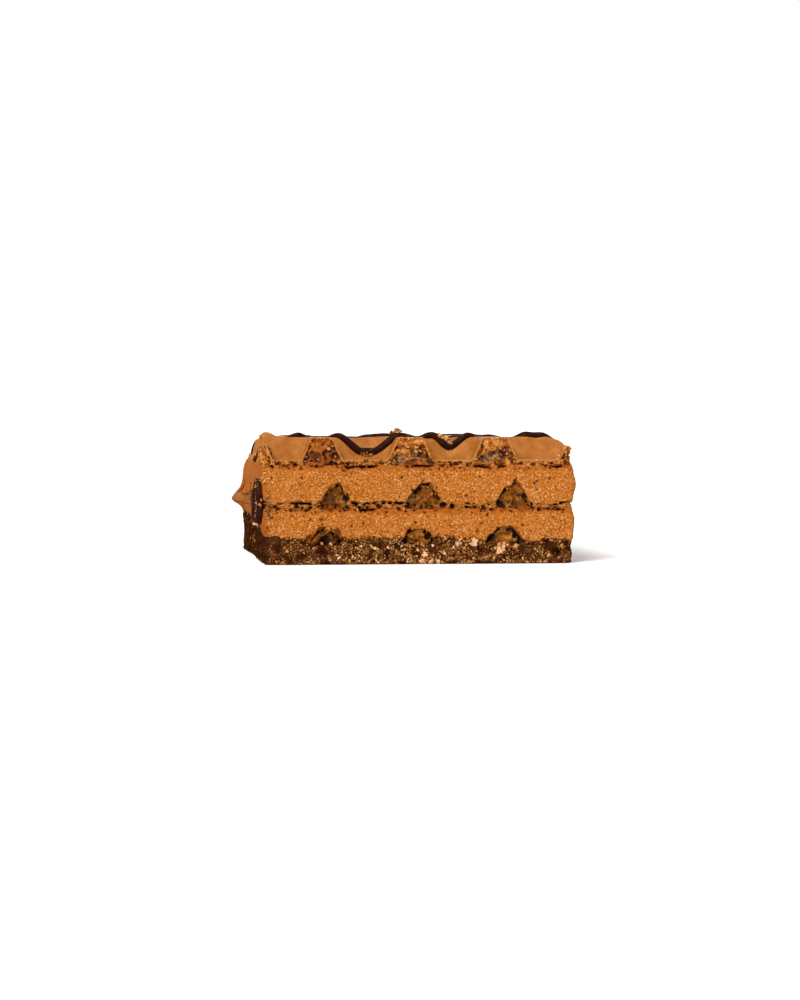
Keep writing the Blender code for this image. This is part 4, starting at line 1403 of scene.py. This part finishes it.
def make_crumbs(count):
    """Crumbs pressed into the tray's wall on all sides, thickest in front, along its rim and its
    foot, and a few large ones at set places. The flakes and the other crumbs follow, because they
    share the random draws."""
    rng = np.random.default_rng(5)
    centres, radii, tints = [], [], []
    for side, share in TRAY_SHARES.items():
        number = int(count * share)
        along, x, y = places_along(rng, side, number, 0.8)
        place = np.column_stack([x, y])
        rim = rim_level(place)
        level = 0.12 + (rim - 0.1) * rng.beta(0.95, 1.0, number)
        at_edge = rng.uniform(size=number)
        level = np.where(at_edge < 0.06, rim + 0.12 * rng.normal(size=number), level)
        level = np.where(at_edge > 0.9, 0.12 + 0.25 * rng.uniform(size=number), level)
        cover = crumb_cover(np.column_stack([place, level]))
        keep = rng.uniform(size=number) < 0.08 + 0.92 * cover
        along, level = along[keep], level[keep]
        centres.append(on_side(side, along, level, 0.03))
        radii.append(0.06 + 0.36 * rng.beta(0.8, 5.5, len(along)))
        tints.append(rng.beta(1.4, 1.6, len(along)) * (0.6 + 0.4 * cover[keep]))
    scatter("crumbs_on_tray", *map(np.concatenate, (centres, radii, tints)), 7, COARSE_BALL)
    front, beside = np.array(FRONT_CRUMBS), np.array(SIDE_CRUMBS)
    centres = np.concatenate([on_side("front", front[:, 0], front[:, 1], 0.1), beside[:, :3]])
    radii, tints = np.concatenate([front[:, 2:], beside[:, 3:]]).T
    scatter("large_crumbs", centres, radii, tints, 9, FINEST_BALL)
    make_flakes(rng)
    make_strand_crumbs(rng)
    make_corner_crumbs(rng)


def make_flakes(rng):
    """Flakes: crumbs at random places along a line, a little off it."""
    for name, wanted in (("mixed_flakes", False), ("toasted_flakes", True)):
        centres, radii, tints = [], [], []
        for first, last, across, number, radius, tint, toasted in FLAKES:
            if toasted != wanted:
                continue
            share = rng.uniform(size=(number, 1))
            centre = np.array(first) * (1.0 - share) + np.array(last) * share
            aside = across * rng.normal(size=(number, 3)) * np.array([1.0, 0.6, 1.0])
            centres.append(centre + aside)
            radii.append(radius * rng.uniform(0.5, 1.2, number))
            tints.append(np.clip(tint + 0.2 * rng.normal(size=number), 0.0, 1.0))
        centres, radii, tints = map(np.concatenate, (centres, radii, tints))
        scatter(name, centres, radii, tints, 11, FINE_BALL, toasted=wanted)


def make_strand_crumbs(rng):
    """Small crumbs stuck to the front strand and the drip: centre = path + radius * direction."""
    for name, (path, radius), number in (
        ("crumbs_on_strand", strand_path(STRANDS[0]), 60),
        ("crumbs_on_drip", drip_path(), 190),
    ):
        pick = rng.integers(3, len(path) - 3, number)
        turn = rng.uniform(0.0, 2.0 * np.pi, number)
        across = np.cos(turn)
        away = np.column_stack([0.6 * across, -0.4 - 0.5 * np.abs(across), np.sin(turn)])
        centre = path[pick] + radius[pick][:, None] * away
        size = 0.05 + 0.12 * rng.beta(1.2, 3.0, number)
        scatter(name, centre, size, 0.2 + 0.6 * rng.uniform(size=number), 27)


def make_corner_crumbs(rng):
    """Crumbs of cream and wafer that cling to the broken upright edges, but not to the middle of
    the front left one, and to the cut rim of the top sheet."""
    for name, (sign_x, sign_y, number, inside) in CORNER_CRUMBS.items():
        level = rng.uniform(4.3, 16.2, number)
        level = level[(level > 12.4) | (level < 6.4) | (name != "front_left")]
        number = len(level)
        block = np.column_stack(
            [np.full(number, sign_x * HALF_WIDTH), np.full(number, sign_y * HALF_LENGTH), level]
        )
        centre = warped(block) - inside * np.array([sign_x, sign_y, 0.0])
        centre += rng.normal(size=(number, 3)) * np.array([0.18, 0.18, 0.0])
        size = 0.12 + 0.3 * rng.beta(1.2, 2.6, number)
        tint = rng.beta(2.2, 2.0, number)
        scatter(f"crumbs_{name}", centre, size, tint, 29, toasted=True, shards=0.2)
    x = rng.uniform(WHOLE_END + 0.2, HALF_WIDTH - 1.2, CUT_RIM_CRUMBS)
    face = upper_face("top", x, -HALF_LENGTH)
    centre = on_side("front", x, face - 0.12 - 0.14 * rng.uniform(size=CUT_RIM_CRUMBS), -0.08)
    size = 0.06 + 0.14 * rng.beta(1.2, 2.4, CUT_RIM_CRUMBS)
    tint = 0.3 + 0.6 * rng.uniform(size=CUT_RIM_CRUMBS)
    scatter("crumbs_on_cut_rim", centre, size, tint, 33, toasted=True, shards=0.3)


def make_rubble(count):
    """Crumbs still clinging to the broken wafer: in the ribs' upper parts and along both skins,
    a little behind the cut. Those in the ribs are larger, and many are shards of bubble wall."""
    rng = np.random.default_rng(21)
    for side, share in RUBBLE_SHARES.items():
        number = int(count * share * RUBBLE_TRIES)
        along, x, y = places_along(rng, side, number, 1.2)
        sheet = rng.choice(3, number, p=(0.1, 0.3, 0.6))
        low = np.choose(sheet, [*UNDERSIDE.values()])
        face = np.choose(sheet, [upper_face(name, x, y) for name in UNDERSIDE])
        level = low + rng.uniform(0.0, 1.0, number) * (face - low - 0.1)
        in_rib = smooth((face - low - SHEET_FLOOR - 0.5) / 0.6)
        height = np.clip((level - low) / 4.2, 0.0, 1.0)
        wanted = in_rib * (0.35 + 0.65 * smooth((height - 0.4) / 0.3))
        wanted = wanted * np.where(sheet < 2, 0.3, 1.0)
        wanted = wanted + (1.0 - in_rib) * 0.4
        clumps = smooth(noise(np.column_stack([x, y, level]), 1.1, 31) + 0.6)
        keep = (rng.uniform(size=number) < wanted * clumps) & (level > 4.2)
        keep &= ~((side == "front") & (x < WHOLE_END) & (level > WHOLE_END_LEVEL - 0.2))
        along, level, in_rib, sheet, face = [
            numbers[keep] for numbers in (along, level, in_rib, sheet, face)
        ]
        radius = (0.08 + 0.32 * rng.beta(1.2, 2.8, len(along))) * (0.5 + 0.5 * in_rib)
        level = np.minimum(level, face - radius - 0.15)
        back = 0.1 + rng.uniform(0.0, 0.5, len(along)) * (0.3 + 0.7 * in_rib)
        tint = rng.beta(1.8, 1.8, len(along)) + np.where(sheet < 2, -0.3, 0.12) * in_rib
        tint = np.clip(tint, 0.0, 0.75)
        place = on_side(side, along, level, -back)
        scatter(f"wafer_rubble_{side}", place, radius, tint, 23, toasted=True, shards=0.5)


# The camera's place, its turn from straight ahead in degrees, and how far its line of sight falls
# for each mm it goes.
CAMERA_PLACE = (-60.055, -491.13, 24.8)
CAMERA_TURN = 7.0
CAMERA_FALL = 95.0 / 3000.0
LENS = 108.0
# Lights: azimuth, where 0 comes from the front and 90 from the right, elevation, strength, and the
# angle over which they spread.
LIGHTS = {
    "key": (-35.0, 40.0, 4.3, 30.0),
    "fill": (50.0, 15.0, 0.7, 60.0),
    "back": (165.0, 30.0, 1.8, 60.0),
}
# Half the floor's side, and how far it lies under the biscuit.
FLOOR_HALF = 3000.0
FLOOR_DROP = 0.05


def link_looking(name, data, location, ahead):
    """Adds an object with that data at that location, which looks ahead."""
    made = bpy.data.objects.new(name, data)
    made.location = location
    made.rotation_mode = "QUATERNION"
    made.rotation_quaternion = ahead.to_track_quat("-Z", "Y")
    bpy.context.scene.collection.objects.link(made)
    return made


def make_camera():
    """The camera: a long lens a little above the biscuit's top, far enough to the left of it that
    its left side shows."""
    data = bpy.data.cameras.new("camera")
    data.lens = LENS
    data.sensor_width = 36.0
    data.clip_start = 0.01
    turn, down = math.radians(CAMERA_TURN), math.atan(CAMERA_FALL)
    level = math.cos(down)
    ahead = Vector((math.sin(turn) * level, math.cos(turn) * level, -math.sin(down)))
    location = [place * MM for place in CAMERA_PLACE]
    bpy.context.scene.camera = link_looking("camera", data, location, ahead)


def make_lights():
    """Even, soft lights from far away."""
    for name, (azimuth, elevation, strength, spread_angle) in LIGHTS.items():
        data = bpy.data.lights.new(name, "SUN")
        data.angle = math.radians(spread_angle)
        data.energy = strength
        turn, lift = math.radians(azimuth), math.radians(elevation)
        level = math.cos(lift)
        source = Vector((math.sin(turn) * level, -math.cos(turn) * level, math.sin(lift)))
        link_looking(name, data, source, -source)


def make_stage():
    """Pale floor and white surroundings, which light the biscuit less than they look."""
    data = bpy.data.meshes.new("floor")
    side = FLOOR_HALF * MM
    corners = [(-side, -side, 0), (side, -side, 0), (side, side, 0), (-side, side, 0)]
    data.from_pydata(corners, [], [(0, 1, 2, 3)])
    floor = bpy.data.objects.new("floor", data)
    floor.location.z = -FLOOR_DROP * MM
    material, _, shader = new_material("matt_white_floor", 0.95, 0.0)
    shader.inputs["Base Color"].default_value = linear("F6F6F6")
    data.materials.append(material)
    bpy.context.scene.collection.objects.link(floor)
    world = bpy.data.worlds.new("white_room")
    world.use_nodes = True
    tree = world.node_tree
    background = tree.nodes["Background"]
    background.inputs["Color"].default_value = (1.0, 1.0, 1.0, 1.0)
    seen = add(tree, "LightPath")["Is Camera Ray"]
    strength = add(tree, "MapRange", (seen, 0.0, 1.0, 0.3, 1.0))[0]
    tree.links.new(strength, background.inputs["Strength"])
    bpy.context.scene.world = world


# ------------------------------------------------------------------ add-on


def length_setting(name, description, usual, least, most):
    """A length that can be changed, from values in mm."""
    return FloatProperty(
        name=name,
        description=description,
        default=usual * MM,
        min=least * MM,
        max=most * MM,
        precision=5,
        unit="LENGTH",
    )


def colour_setting(name, description, finish):
    """The main colour of a finish, which can be changed."""
    usual = linear(MAIN_TONES[finish])[:3]
    return FloatVectorProperty(name=name, description=description, default=usual, subtype="COLOR")


class BiscuitSettings(bpy.types.PropertyGroup):
    """Sizes and colours that can be changed before building."""

    pit_depth: length_setting(
        "Pit depth", "Height of the top sheet's ribs over its floor", RIB_RISE["top"], 1.0, 3.6
    )
    strand_radius: length_setting(
        "Strand radius", "Radius of the chocolate strands where they are thick", USUAL_STRAND, 0.2, 0.8
    )
    crumb_size: length_setting("Crumb size", "Radius of a middling crumb", USUAL_CRUMB, 0.1, 0.5)
    cream_grain: length_setting("Cream grain", "Size of the specks in the cream", 0.25, 0.1, 1.0)
    crumb_count: IntProperty(
        name="Crumbs", description="Number of small crumbs on the tray", default=6800, min=100
    )
    rubble_count: IntProperty(
        name="Rubble", description="Number of crumbs on the broken wafer", default=2400, min=100
    )
    skin_colour: colour_setting("Wafer skin", "Baked faces of the top sheet", "skin_colour")
    foam_colour: colour_setting(
        "Broken wafer", "Dry crumb where the top sheet is cut", "foam_colour"
    )
    soaked_colour: colour_setting(
        "Soaked wafer", "Crumb of the sheets under cream", "soaked_colour"
    )
    cream_colour: colour_setting("Cream", "Biscuit cream between the sheets", "cream_colour")
    chocolate_colour: colour_setting(
        "Tray chocolate", "Chocolate under the biscuit", "chocolate_colour"
    )
    strand_colour: colour_setting(
        "Strand chocolate", "Chocolate of the strands and the drip", "strand_colour"
    )
    crumb_colour: colour_setting("Crumbs", "Loose and clinging crumbs", "crumb_colour")


class BISCUIT_OT_base(bpy.types.Operator):
    """Builds the chocolate tray"""

    bl_idname = "biscuit.base"
    bl_label = "Chocolate tray"

    def execute(self, context):
        make_base()
        return {"FINISHED"}


class BISCUIT_OT_wafers(bpy.types.Operator):
    """Builds the three wafer sheets"""

    bl_idname = "biscuit.wafers"
    bl_label = "Wafer sheets"

    def execute(self, context):
        make_sheet("bottom")
        make_sheet("middle")
        make_top_sheet()
        return {"FINISHED"}


class BISCUIT_OT_creams(bpy.types.Operator):
    """Builds the two cream layers"""

    bl_idname = "biscuit.creams"
    bl_label = "Cream layers"

    def execute(self, context):
        make_cream("cream_lower", "bottom", "middle")
        make_cream("cream_upper", "middle", "top")
        return {"FINISHED"}


class BISCUIT_OT_strands(bpy.types.Operator):
    """Builds the chocolate strands and the drip"""

    bl_idname = "biscuit.strands"
    bl_label = "Chocolate strands"

    def execute(self, context):
        make_strands()
        return {"FINISHED"}


class BISCUIT_OT_crumbs(bpy.types.Operator):
    """Builds the crumbs on the tray, the strands and the broken edges"""

    bl_idname = "biscuit.crumbs"
    bl_label = "Crumbs"

    def execute(self, context):
        make_crumbs(setting("crumb_count"))
        return {"FINISHED"}


class BISCUIT_OT_rubble(bpy.types.Operator):
    """Builds the rubble on the cut wafer"""

    bl_idname = "biscuit.rubble"
    bl_label = "Wafer rubble"

    def execute(self, context):
        make_rubble(setting("rubble_count"))
        return {"FINISHED"}


class BISCUIT_OT_stage(bpy.types.Operator):
    """Builds the floor, the lights and the camera"""

    bl_idname = "biscuit.stage"
    bl_label = "Stage"

    def execute(self, context):
        make_stage()
        make_lights()
        make_camera()
        return {"FINISHED"}


class BISCUIT_PT_panel(bpy.types.Panel):
    """Settings and buttons for the pieces"""

    bl_label = "Wafer biscuit"
    bl_idname = "BISCUIT_PT_panel"
    bl_space_type = "VIEW_3D"
    bl_region_type = "UI"
    bl_category = "Biscuit"

    def draw(self, context):
        for name in BiscuitSettings.__annotations__:
            self.layout.prop(context.scene.wafer_biscuit, name)
        for operator in OPERATORS:
            self.layout.operator(operator.bl_idname)


OPERATORS = (
    BISCUIT_OT_base,
    BISCUIT_OT_wafers,
    BISCUIT_OT_creams,
    BISCUIT_OT_strands,
    BISCUIT_OT_crumbs,
    BISCUIT_OT_rubble,
    BISCUIT_OT_stage,
)
CLASSES = (BiscuitSettings, *OPERATORS, BISCUIT_PT_panel)


def register():
    for cls in CLASSES:
        bpy.utils.register_class(cls)
    bpy.types.Scene.wafer_biscuit = PointerProperty(type=BiscuitSettings)


def unregister():
    del bpy.types.Scene.wafer_biscuit
    for cls in reversed(CLASSES):
        bpy.utils.unregister_class(cls)


def main():
    """Builds everything."""
    register()
    bpy.context.scene.view_settings.view_transform = "Standard"
    bpy.ops.biscuit.base()
    bpy.ops.biscuit.wafers()
    bpy.ops.biscuit.creams()
    bpy.ops.biscuit.strands()
    bpy.ops.biscuit.crumbs()
    bpy.ops.biscuit.rubble()
    bpy.ops.biscuit.stage()


if __name__ == "__main__":
    main()
